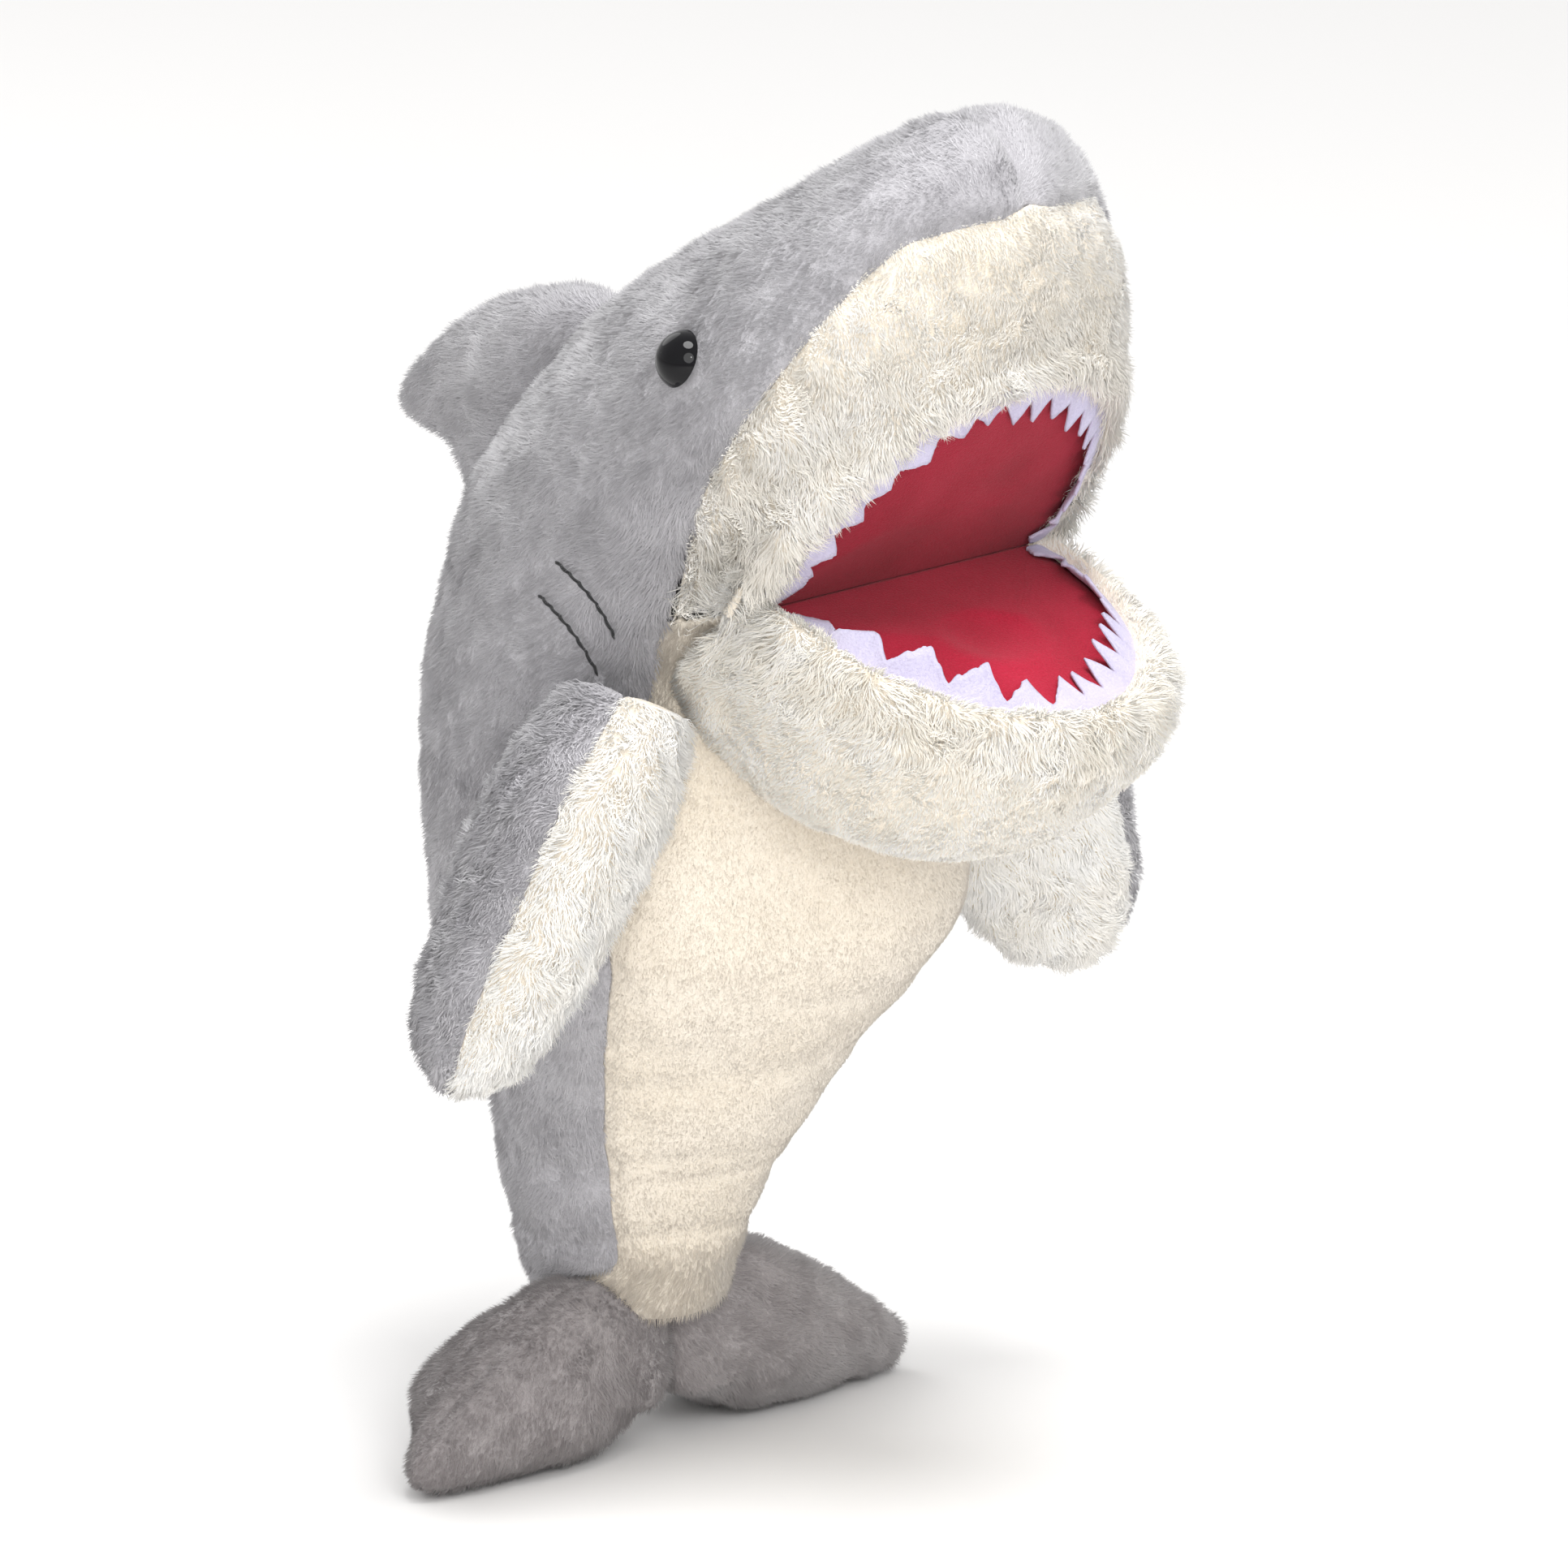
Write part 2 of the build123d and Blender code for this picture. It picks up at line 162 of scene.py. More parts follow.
def closed_curve(points, count):
    """Points at even steps along a smooth closed curve through the given ones."""
    p = np.array(points, float)
    dense = []
    for i in range(len(p)):
        a, b, c, d = (p[(i + k) % len(p)] for k in (-1, 0, 1, 2))
        for t in np.linspace(0, 1, 12, endpoint=False):
            dense.append(
                0.5 * (2 * b + (c - a) * t + (2 * a - 5 * b + 4 * c - d) * t**2
                       + (3 * b - a - 3 * c + d) * t**3)
            )
    dense = np.array(dense + [dense[0]])
    run = run_along(dense)
    at = np.linspace(0, run[-1], count, endpoint=False)
    return np.stack([np.interp(at, run, dense[:, k]) for k in range(2)], 1)


def noise(points, size, seed, parts=7):
    """A smooth value between about -1 and 1 that varies over the given size."""
    draw = np.random.default_rng(seed)
    total = np.zeros(len(points))
    for _ in range(parts):
        wave = draw.normal(size=3)
        wave *= 2 * math.pi / (size * draw.uniform(0.7, 1.8)) / np.linalg.norm(wave)
        total += np.sin(points @ wave + draw.uniform(0, 2 * math.pi))
    return total / math.sqrt(parts)


def bump(value, width):
    return np.exp(-((value / width) ** 2))


def smoothstep(low, high, value):
    t = np.clip((value - low) / (high - low), 0, 1)
    return t * t * (3 - 2 * t)


def unit(vectors):
    return vectors / np.maximum(np.linalg.norm(vectors, axis=-1, keepdims=True), 1e-9)


def turned(from_way, to_way, angle):
    """Directions turned from one way towards another, square to it."""
    return from_way * np.cos(angle)[:, None] + to_way * np.sin(angle)[:, None]


NOSE_FORWARD, NOSE_WIDTH = 130, 42  # where the nose starts, and how wide the body is there
hull_knots = run_along(HULL_RIBS[:, [0, 1, 3]])


def hull_points(stations, phi, inset):
    """Points of the body's surface at stations along it and angles round it."""
    rib = smooth_curve(hull_knots, HULL_RIBS, stations)
    forward, height, lean, half_width, half_depth = (rib[:, k][:, None] for k in range(5))
    nose = np.clip(1 - half_width / NOSE_WIDTH, 0, 1) * (forward > NOSE_FORWARD)
    half_width = np.maximum(half_width - inset, 0.15 * half_width)
    half_depth = np.maximum(half_depth - inset, 0.15 * half_depth)
    lean = np.radians(lean)
    across = half_width * np.cos(phi)
    up = half_depth * np.sin(phi)
    f = forward - inset * nose - up * np.cos(lean)
    z = height + up * np.sin(lean)
    return np.stack([across + 0 * f, foot - f, z], -1)


def ahead_of_seam(points):
    """How far a point is in front of the colour seam."""
    return (foot - points[..., 1]) - np.interp(
        points[..., 2], COLOUR_SEAM[:, 1], COLOUR_SEAM[:, 0]
    )


def seam_angles(stations):
    """The angle at which the colour seam crosses each station."""
    trial = np.radians(np.linspace(-90, 90, 721))
    grey = ahead_of_seam(hull_points(stations, np.tile(trial, (len(stations), 1)), 0)) < 0
    return trial[np.where(grey.any(1), grey.argmax(1), len(trial) - 1)]


def palate_points(x, out, into, upper):
    """Points given on a palate: across, out from the fold, and into the mouth."""
    slope = SLOPE_UP if upper else SLOPE_DOWN
    c, s = math.cos(slope), math.sin(slope)
    if upper:
        f, z = out * c + into * s, out * s - into * c
    else:
        f, z = out * c - into * s, out * s + into * c
    x, f, z = np.broadcast_arrays(x, f, z)
    return np.stack([x, foot - FOLD_FORWARD - f, FOLD_HEIGHT + z], -1)


def horseshoe(share, half_width, length, power, start=None):
    """The U of a palate's edge, from one corner (share 0) to the other (share 1)."""
    straight = 12.0  # how far out the U starts to curve
    angle = np.linspace(0, math.pi, 181)
    c, s = np.cos(angle), np.sin(angle)
    x = half_width * np.sign(c) * np.abs(c) ** (2 / power)
    y = straight + (length - straight) * np.abs(s) ** (2 / power)
    start_x, start_y = start or (half_width, 0.0)
    run_in = np.linspace(0, 1, 20, endpoint=False)
    lead_x = start_x + (half_width - start_x) * run_in
    lead_y = start_y + (straight - start_y) * run_in
    x = np.concatenate([lead_x, x, -lead_x[::-1]])
    y = np.concatenate([lead_y, y, lead_y[::-1]])
    run = np.concatenate([[0], np.cumsum(np.hypot(np.diff(x), np.diff(y)))])
    at = share * run[-1]
    return np.interp(at, run, x), np.interp(at, run, y)


def through_rows(rows, count):
    """A grid of points on smooth curves that cross the given rows of points."""
    rows = np.array(rows)
    spread = np.linalg.norm(np.diff(rows, axis=0), axis=-1).mean(1)
    knots = np.concatenate([[0], np.cumsum(spread)])
    profile = np.linspace(0, knots[-1], count)
    return smooth_curve(knots, rows.reshape(len(rows), -1), profile).reshape(count, -1, 3)


# ---------------------------------------------------------------- meshes


def grid_faces(rows, columns, wrap=False):
    r = np.arange(rows - 1)[:, None]
    c = np.arange(columns if wrap else columns - 1)[None, :]
    n = (c + 1) % columns
    quads = np.stack(
        [r * columns + c, r * columns + n, (r + 1) * columns + n, (r + 1) * columns + c], -1
    )
    return quads.reshape(-1, 4)


def add_to_scene(name, data):
    obj = bpy.data.objects.new(name, data)
    bpy.context.scene.collection.objects.link(obj)
    return obj


def make_object(name, points, faces):
    """A smooth mesh object from points in millimetres."""
    mesh = bpy.data.meshes.new(name)
    corners = [[int(i) for i in face] for face in faces]
    mesh.from_pydata((np.asarray(points) * MM).tolist(), [], corners)
    mesh.polygons.foreach_set("use_smooth", np.ones(len(mesh.polygons), bool))
    mesh.update()
    return add_to_scene(name, mesh)


def vertex_values(mesh, field):
    out = np.empty(len(mesh.vertices) * 3, np.float32)
    mesh.vertices.foreach_get(field, out)
    return out.reshape(-1, 3).astype(float)


def mesh_points(obj):
    return vertex_values(obj.data, "co") / MM


def mesh_normals(obj):
    return vertex_values(obj.data, "normal")


def set_points(obj, points):
    obj.data.vertices.foreach_set("co", (points * MM).astype(np.float32).ravel())
    obj.data.update()


def turn_outward(obj, end_sides=0):
    """Turn all faces the same way, after closing open ends of up to so many sides."""
    bm = bmesh.new()
    bm.from_mesh(obj.data)
    if end_sides:
        open_edges = [edge for edge in bm.edges if edge.is_boundary]
        bmesh.ops.holes_fill(bm, edges=open_edges, sides=end_sides)
    bmesh.ops.recalc_face_normals(bm, faces=bm.faces)
    bm.to_mesh(obj.data)
    bm.free()


def thicken(obj, name, thickness):
    """Give a sheet its thickness, inwards from its face."""
    thick = obj.modifiers.new(name, "SOLIDIFY")
    thick.thickness = thickness
    thick.offset = -1


skins = {}


class Skin:
    """A panel of plush: its mesh, the lay and length of its pile, and its seams."""

    def __init__(self, name, points, faces, flow, pile, seam, puff=2.5):
        points, flow = points.reshape(-1, 3), flow.reshape(-1, 3)
        used = np.unique(faces)
        lookup = np.full(len(points), -1)
        lookup[used] = np.arange(len(used))
        self.obj = make_object(name, points[used], lookup[faces])
        away = points[used] - points[used].mean(0)
        if (away * mesh_normals(self.obj)).sum() < 0:
            self.obj.data.flip_normals()
        self.flow = flow[used]
        self.pile = pile.ravel()[used]
        self.seam = seam.ravel()[used]
        self.held = np.zeros(len(used), bool)  # held still while the panel is stuffed
        self.crease = np.zeros(len(used))  # how deep its creases are drawn in
        self.puff = puff
        skins[name] = self


def grid_flow(points, axis, sign):
    """Unit directions along one axis of a grid of points."""
    return unit(np.gradient(points, axis=axis) * sign)


def one_side(points, flow, sign):
    """Move a grid and its flow to one side of the toy, and give its faces."""
    points[..., 0] *= sign
    flow[..., 0] *= sign
    faces = grid_faces(*points.shape[:2])
    return faces[:, ::-1] if sign > 0 else faces


def edge_distance(points, edges):
    """Distance in a grid from its seam edges, along each row or column."""
    rows, columns = points.shape[:2]
    best = np.full((rows, columns), 1e3)
    along = np.linalg.norm(np.diff(points, axis=1), axis=-1)
    run = np.concatenate([np.zeros((rows, 1)), np.cumsum(along, 1)], 1)
    down = np.linalg.norm(np.diff(points, axis=0), axis=-1)
    fall = np.concatenate([np.zeros((1, columns)), np.cumsum(down, 0)], 0)
    if "first" in edges:
        best = np.minimum(best, run)
    if "last" in edges:
        best = np.minimum(best, run[:, -1:] - run)
    if "top" in edges:
        best = np.minimum(best, fall)
    if "bottom" in edges:
        best = np.minimum(best, fall[-1:] - fall)
    return best


def pinch(points, normals, distance, depth=2.0, width=4.5):
    """Draw a surface in beside its seams."""
    return points - normals * (depth * bump(distance, width))[:, None]


# ---- body: two grey halves from tail to nose, and the cream belly

HULL_INSET = 2.4  # how far the cloth lies under the tips of its pile
HULL_STEP, HULL_AROUND, PANEL_STEPS = 3.2, 120, 46
LAST_RIB = 0.9999  # share of a run of ribs, just short of its end
TOP_SEAM = math.radians(89.6)  # past this angle the grey panels have closed over the nose
count = int(hull_knots[-1] / HULL_STEP)
stations = np.linspace(0, hull_knots[-1] * LAST_RIB, count)
crossing = seam_angles(stations)
round_angles = np.linspace(0, 2 * math.pi, HULL_AROUND, endpoint=False)
hull_closed = hull_points(stations, np.tile(round_angles, (count, 1)), HULL_INSET)
hull_tree = BVHTree.FromPolygons(
    hull_closed.reshape(-1, 3).tolist(), grid_faces(count, HULL_AROUND, wrap=True).tolist()
)


def on_hull(points):
    """The nearest points of the body's surface."""
    flat = points.reshape(-1, 3)
    found = [hull_tree.find_nearest(Vector(p))[0] for p in flat]
    return np.array([tuple(p) for p in found]).reshape(points.shape)


# Folds across the lower body: depth, height, slope, size and length and start of the fold's
# own waves, and width. The first one fades out towards the toy's left.
BODY_FOLDS = (
    (1.3, 92, 0.10, 3, 17, 0, 3.6), (1.0, 84, -0.08, -2, 13, 1, 3.0),
    (0.8, 121, 0.12, 3, 23, 0, 4.5), (0.7, 149, -0.05, 4, 29, 2, 6),
    (1.2, 66, 0.05, 2, 11, 0, 3.2),
)


def body_folds(points):
    """How far inwards the folds draw the body's points."""
    x, z = points[:, 0], points[:, 2]
    folds = [deep * bump(z - height - slope * x + wave * np.sin(x / length + begin), width)
             for deep, height, slope, wave, length, begin, width in BODY_FOLDS]
    folds[0] *= smoothstep(-70, 20, -x)
    return sum(folds)


for side, sign in (("left", 1), ("right", -1)):
    rows = np.flatnonzero(crossing < TOP_SEAM)
    across = np.linspace(0, 1, PANEL_STEPS)
    phi = crossing[rows][:, None] + (math.pi / 2 - crossing[rows][:, None]) * across
    points = hull_points(stations[rows], phi, HULL_INSET)
    flow = grid_flow(points, 0, -1)
    distance = edge_distance(points, ("first",))
    middle = edge_distance(points, ("last",))
    faces = one_side(points, flow, sign)
    nose = smoothstep(60, 140, foot - points[..., 1]) * (points[..., 2] > 300)
    height = points[..., 2]
    cheek = bump(distance, 22) * smoothstep(230, 262, height) * smoothstep(345, 300, height)
    pile = 3.7 - 0.9 * nose - 0.5 * smoothstep(120, 60, height) + 2.4 * cheek
    skin = Skin(f"back_plush_{side}", points, faces, flow, pile,
                np.minimum(distance, middle * 1.2))
    skin.crease = (2.2 * bump(middle, 6.5) * nose).ravel()

# The belly's cloth runs from the second rib to the one behind the mouth's fold, which is
# cut out for the mouth, and lies a little under the grey at the colour seam.
rows = np.flatnonzero((HULL_RIBS[1, 1] < smooth_curve(hull_knots, HULL_RIBS, stations)[:, 1])
                      & (stations < hull_knots[10]))
phi = -math.pi / 2 + (crossing[rows][:, None] + math.pi / 2) * np.linspace(0, 1, 44)
points = hull_points(stations[rows], phi, HULL_INSET + 0.6)
mirrored = points[:, :0:-1] * np.array([-1, 1, 1])
points = np.concatenate([mirrored, points], 1)
flow = grid_flow(points, 0, -1)
distance = edge_distance(points, ("first", "last"))
faces = grid_faces(len(rows), points.shape[1])[:, ::-1]
flat = points.reshape(-1, 3)
f, z = foot - flat[:, 1] - FOLD_FORWARD, flat[:, 2] - FOLD_HEIGHT
in_mouth = ((f > 1) & (z > -45)) | (z > f * math.tan(math.radians(16)) + 1)
faces = faces[~in_mouth[faces].any(1)]
lower_end = bump(flat[:, 2] - 50, 12)
pile = 1.7 + 3.0 * lower_end + 3.0 * smoothstep(236, 258, flat[:, 2])
pile += 1.0 * bump(distance.ravel(), 5)
Skin("belly_plush", points, faces, flow, pile, distance)

# ---- muzzle: the rolled upper lip, and the cream panel from it to the grey seam

columns = 150
share = np.linspace(0, 1, columns)
to_end = np.minimum(share, 1 - share)
seam_line = hull_points(stations, crossing[:, None], HULL_INSET + 0.3)[:, 0]
above = (seam_line[:, 2] > 262) & (stations > hull_knots[8]) & (crossing < math.radians(89.9))
left = seam_line[above]
top = hull_points(
    stations[above][-1:], np.array([[math.pi / 2]]), HULL_INSET + 0.3)[0]
left = np.concatenate([left, top * np.array([0, 1, 1])])
loop = np.concatenate([left, left[-2::-1] * np.array([-1, 1, 1])])
run = run_along(loop)
outer = np.stack([np.interp(share * run[-1], run, loop[:, k]) for k in range(3)], 1)

UPPER_EDGE = (57.0, 83.0, 2.3)  # half width, length and squareness of the mouth's upper edge
LOWER_EDGE = (55.0, 80.0, 2.1)
lip_rows = []
for offset, into in ((-4, -1.0), (-1.5, 0.4), (1.2, 2.6), (4, 3.2), (7, 1.0), (9.4, -4.0)):
    x, out = horseshoe(share, UPPER_EDGE[0] + offset, UPPER_EDGE[1] + offset, UPPER_EDGE[2])
    lip_rows.append(palate_points(x, out, into * (0.35 + 0.65 * smoothstep(0, 20, out)), True))
start = lip_rows[-1]
for k in range(1, 6):
    between = start + (outer - start) * (k / 6)
    fitted = min(1, k / 3)
    lip_rows.append(between * (1 - fitted) + on_hull(between) * fitted)
lip_rows.append(outer)
# A seam allowance runs on under the grey panels, so that no gap opens at the seam.
ALLOWANCE = 3.0
onward = unit(outer - lip_rows[-2])
inward = unit(np.array([0, foot - 92, 325]) - outer)
lip_rows.append(outer + onward * ALLOWANCE + inward * 1.6)
points = through_rows(lip_rows, 40)
flow = grid_flow(points, 0, -1)
distance = np.abs(edge_distance(points, ("bottom",)) - ALLOWANCE)
from_lip = edge_distance(points, ("top",))
outward = smoothstep(14, 26, from_lip)
down = np.array([0.0, 0.15, -1.0])
lay = outward * (0.25 + 0.75 * smoothstep(105, 135, foot - points[..., 1]))
flow = flow * (1 - 0.6 * lay[..., None]) + down * (0.75 * lay[..., None])
pile = 3.0 + 4.6 * bump(from_lip - 9, 10) + 1.2 * bump(from_lip - 26, 12)
nose_share = smoothstep(118, 140, foot - points[..., 1])
pile -= 0.7 * nose_share * outward
cheek_end = smoothstep(0.13, 0.0, to_end)[None]
pile += 5.5 * cheek_end * smoothstep(8, 24, from_lip)
pile += 2.6 * smoothstep(0.36, 0.2, to_end)[None] * outward
points[..., 0] += np.sign(points[..., 0]) * 2.5 * cheek_end * bump(from_lip - 18, 14)
pile[:2] *= 0.35
skin = Skin("muzzle_plush", points, grid_faces(*points.shape[:2])[:, ::-1], flow, pile, distance)
skin.held = (from_lip < 26).ravel()

# ---- chin: the fat lower lip and the underside of the jaw

# Rows: half width, length, height over the palate, and where the row starts.
CHIN_ROWS = (
    (52, 77, -1.0, 52, 0), (54, 79.5, 1.0, 54, -1), (56, 82.5, 4.6, 56, -2),
    (58.5, 86.5, 6.4, 58, -3), (61.5, 90.5, 3.6, 59.5, -4), (63.5, 92, -4, 60.5, -6),
    (64, 91.5, -12, 61, -9), (63, 89, -21, 60.5, -13), (61, 84, -30, 59, -18),
    (56, 76, -43, 54, -26), (46, 60, -56, 45, -32), (29, 38, -65, 29, -34),
    (10, 16, -68.5, 10, -30), (1, 2, -69, 1, -10),
)
chin_rows = []
for half_width, length, into, start_x, start_out in CHIN_ROWS:
    x, out = horseshoe(share, half_width, length, 2.1, (start_x, start_out))
    chin_rows.append(palate_points(x, out, into, False))
points = through_rows(chin_rows, 46)
# The jaw's two rear ends close in rounded caps that tuck into the body.
CAP = np.array([0.22, 0.45, 0.72, 1.0])
tuck = palate_points(28.0, -16.0, -20.0, False)
caps = []
for sign, edge in ((1, points[:, :1]), (-1, points[:, -1:])):
    bulge = np.array([0.6 * sign, 0.8, 0]) * 8
    t = CAP[None, :, None]
    hidden = tuck * np.array([sign, 1, 1])
    caps.append(edge * (1 - t) + hidden * t + bulge * np.sin(math.pi * t) * (1 - t))
points = np.concatenate([caps[0][:, ::-1], points, caps[1]], 1)
jaw_end = np.concatenate([np.zeros(len(CAP)), to_end, np.zeros(len(CAP))])
from_lip = edge_distance(points, ("top",))
flow = grid_flow(points, 0, 1)
pile = 2.2 + 5.4 * bump(from_lip - 18, 15)
pile += 3.0 * smoothstep(0.1, 0.0, jaw_end) * bump(from_lip - 24, 20)
pile *= 0.35 + 0.65 * smoothstep(3, 14, from_lip)
pile[:2] *= 0.35
NO_SEAM = 99.0  # a distance that no seam's pinch reaches
skin = Skin("chin_plush", points, grid_faces(*points.shape[:2]), flow, pile,
            np.full(from_lip.shape, NO_SEAM))
skin.held = (from_lip < 16).ravel()

# ---- pectoral fins

lead = np.array([math.sin(PECTORAL_TURN), -math.cos(PECTORAL_TURN), 0])
down = np.array([math.sin(PECTORAL_LEAN), 0, -math.cos(PECTORAL_LEAN)])
lead -= down * (lead @ down)
lead /= np.linalg.norm(lead)
thick = np.cross(down, lead)
fin_knots = run_along(PECTORAL_RIBS[:, 1:4])
FIN_STEPS, FIN_AROUND = 48, 40
PECTORAL_INSET = 2.6
RIM = math.radians(16)  # how far the grey wraps round the fin's back edge
# How far the cream wraps round each fin's front edge, and how much lower its tip hangs.
FRONT_RIM = {"left": math.radians(-14), "right": math.radians(24)}
FIN_DROOP = {"left": 8.0, "right": -3.0}
fin_ribs = smooth_curve(
    fin_knots, PECTORAL_RIBS, np.linspace(0, fin_knots[-1] * LAST_RIB, FIN_STEPS))
for side, sign in (("left", 1), ("right", -1)):
    front = FRONT_RIM[side]
    for colour, begin, end in (("cream", -front, math.pi - RIM),
                               ("grey", math.pi - RIM, 2 * math.pi - front)):
        phi = np.linspace(begin, end, FIN_AROUND)
        forward, height, out, chord, depth = (fin_ribs[:, k][:, None] for k in range(5))
        shrink = np.minimum(PECTORAL_INSET, 0.6 * chord)
        centre = np.stack([out, foot - forward, height], -1)
        points = (
            centre
            + ((chord - shrink) * np.cos(phi))[..., None] * lead
            + ((depth - np.minimum(PECTORAL_INSET, 0.6 * depth)) * np.sin(phi))[..., None] * thick
        )
        points[..., 2] -= FIN_DROOP[side] * np.linspace(0, 1, FIN_STEPS)[:, None] ** 1.5
        flow = grid_flow(points, 0, 1)
        distance = edge_distance(points, ("first", "last"))
        faces = one_side(points, flow, sign)
        pile = (5.0 if colour == "grey" else 6.2) * (0.8 + 0.2 * smoothstep(0, 30, distance))
        Skin(f"pectoral_{side}_{colour}_plush", points, faces, flow, pile, distance, puff=2.0)


# ---- dorsal fin and flukes: outlines with a plump face on each side

PAD_RINGS, PAD_AROUND = 18, 110


def paddle(outline, centre, face_depth):
    """One face of a pad: rings of its outline drawn in to the centre, and their depth."""
    share = np.sin(np.linspace(0, math.pi / 2, PAD_RINGS))
    rim = closed_curve(outline, PAD_AROUND)
    flat = centre + (rim[None] - centre) * share[::-1][:, None, None]
    plump = np.sqrt(np.maximum(1 - share[::-1] ** 2.3, 0))[:, None]
    return flat, plump * face_depth(flat)


def pad_skin(name, points, flipped, lay, length):
    """The plush of one face of a pad, its seam along the rim."""
    faces = grid_faces(PAD_RINGS, PAD_AROUND, wrap=True)
    if flipped:
        faces = faces[:, ::-1]
    flow = np.tile(np.array(lay), (PAD_RINGS * PAD_AROUND, 1))
    pile = np.full(points.shape[:2], length)
    Skin(name, points, faces, flow, pile, edge_distance(points, ("top",)), puff=1.5)


def dorsal_depth(flat):
    return 8.5 + 8.5 * smoothstep(-100, -40, flat[..., 0])


flat, depth = paddle(DORSAL_OUTLINE, np.array([-62.0, 296.0]), dorsal_depth)
for side, sign in (("left", 1), ("right", -1)):
    points = np.stack([sign * depth, foot - flat[..., 0], flat[..., 1]], -1)
    pad_skin(f"dorsal_plush_{side}", points, sign < 0, (0, 0.9, -0.45), 3.7)


def fluke_front(flat):
    x, z = flat[..., 0], flat[..., 1]
    return 9.5 + 6.0 * smoothstep(100, 50, x) * smoothstep(56, 20, z)


def fluke_back(flat):
    x, z = flat[..., 0], flat[..., 1]
    reach = np.clip(111 - x, 12, 52) * (1 - 0.38 * smoothstep(5, 50, z))
    return reach - SEAM_BACK


SEAM_BACK = 5.5
for face, direction, depth_of in (("front", -1, fluke_front), ("back", 1, fluke_back)):
    flat, depth = paddle(FLUKE_OUTLINE, np.array([46.0, 24.0]), depth_of)
    for side, sign in (("left", 1), ("right", -1)):
        points = np.stack(
            [sign * flat[..., 0], foot + SEAM_BACK + direction * depth, flat[..., 1]], -1)
        pad_skin(f"fluke_{side}_{face}_plush", points, sign * direction < 0,
                 (sign * 0.8, 0, -0.5), 3.4)

# ---------------------------------------------------------------- stuffing

BURIED_SHARE, FREE_PILE = 0.45, 3.6  # long pile takes up room, so its cloth lies deeper
for name, skin in skins.items():
    obj = skin.obj
    normals = mesh_normals(obj)
    points = pinch(mesh_points(obj), normals, skin.seam)
    points -= normals * (BURIED_SHARE * np.maximum(skin.pile - FREE_PILE, 0))[:, None]
    if "back_plush" in name or name == "belly_plush":
        points -= normals * body_folds(points)[:, None]
    points -= normals * skin.crease[:, None]
    swell = noise(points, 42, 5) * 0.7 + noise(points, 19, 8) * 0.25
    points += normals * (swell * smoothstep(2, 14, skin.seam))[:, None]
    set_points(obj, points)


def stuff(frames=14):
    """Swell the panels with cloth simulation, their seams held."""
    scene = bpy.context.scene
    start = {}
    for skin in skins.values():
        obj = skin.obj
        start[obj.name] = mesh_points(obj)
        held = (skin.seam < 1.2) | skin.held
        counts = np.zeros(len(held), int)
        for edge in obj.data.edges:
            counts[edge.vertices[0]] += 1
            counts[edge.vertices[1]] += 1
        held |= counts < 4
        group = obj.vertex_groups.new(name="held")
        group.add(np.flatnonzero(held).tolist(), 1.0, "ADD")
        cloth = obj.modifiers.new("stuffing", "CLOTH")
        cloth.settings.use_pressure = True
        cloth.settings.uniform_pressure_force = 3.0
        cloth.settings.effector_weights.gravity = 0
        cloth.settings.vertex_group_mass = "held"
        cloth.settings.quality = 4
        cloth.collision_settings.use_collision = False
        cloth.point_cache.frame_start = 1
        cloth.point_cache.frame_end = frames
    for number in range(1, frames + 1):
        scene.frame_set(number)
    graph = bpy.context.evaluated_depsgraph_get()
    for skin in skins.values():
        obj = skin.obj
        swollen = vertex_values(obj.evaluated_get(graph).data, "co") / MM
        move = swollen - start[obj.name]
        size = np.linalg.norm(move, axis=1, keepdims=True)
        move *= np.minimum(1, skin.puff / np.maximum(size, 1e-9))
        obj.modifiers.clear()
        obj.vertex_groups.clear()
        set_points(obj, start[obj.name] + move)
    scene.frame_set(1)


stuff()

# ---------------------------------------------------------------- materials


def linear(rgb):
    c = np.array(rgb, float) / 255
    return tuple(np.where(c <= 0.04045, c / 12.92, ((c + 0.055) / 1.055) ** 2.4)) + (1.0,)


def new_material(name, rgb, roughness=0.9, sheen=0.0, specular=0.2):
    material = bpy.data.materials.new(name)
    material.use_nodes = True
    shader = material.node_tree.nodes["Principled BSDF"]
    shader.inputs["Base Color"].default_value = linear(rgb)
    shader.inputs["Roughness"].default_value = roughness
    shader.inputs["Specular IOR Level"].default_value = specular
    shader.inputs["Sheen Weight"].default_value = sheen
    shader.inputs["Sheen Roughness"].default_value = 0.5
    return material, material.node_tree, shader


def object_place(tree):
    return tree.nodes.new("ShaderNodeTexCoord").outputs["Object"]


def noise_texture(tree, where, scale, detail=2, roughness=0.5):
    node = tree.nodes.new("ShaderNodeTexNoise")
    node.inputs["Scale"].default_value = scale
    node.inputs["Detail"].default_value = detail
    node.inputs["Roughness"].default_value = roughness
    tree.links.new(where, node.inputs["Vector"])
    return node.outputs["Fac"]


def colour_by(tree, shader, value, first, last, *between):
    """The base colour from a value, through (position, colour) stops."""
    ramp = tree.nodes.new("ShaderNodeValToRGB")
    elements = ramp.color_ramp.elements
    for element, (position, rgb) in zip(elements, (first, last)):
        element.position, element.color = position, linear(rgb)
    for position, rgb in between:
        elements.new(position).color = linear(rgb)
    tree.links.new(value, ramp.inputs["Fac"])
    tree.links.new(ramp.outputs["Color"], shader.inputs["Base Color"])


def add_relief(tree, shader, height, strength, deep):
    relief = tree.nodes.new("ShaderNodeBump")
    relief.inputs["Strength"].default_value = strength
    relief.inputs["Distance"].default_value = deep
    tree.links.new(height, relief.inputs["Height"])
    tree.links.new(relief.outputs["Normal"], shader.inputs["Normal"])


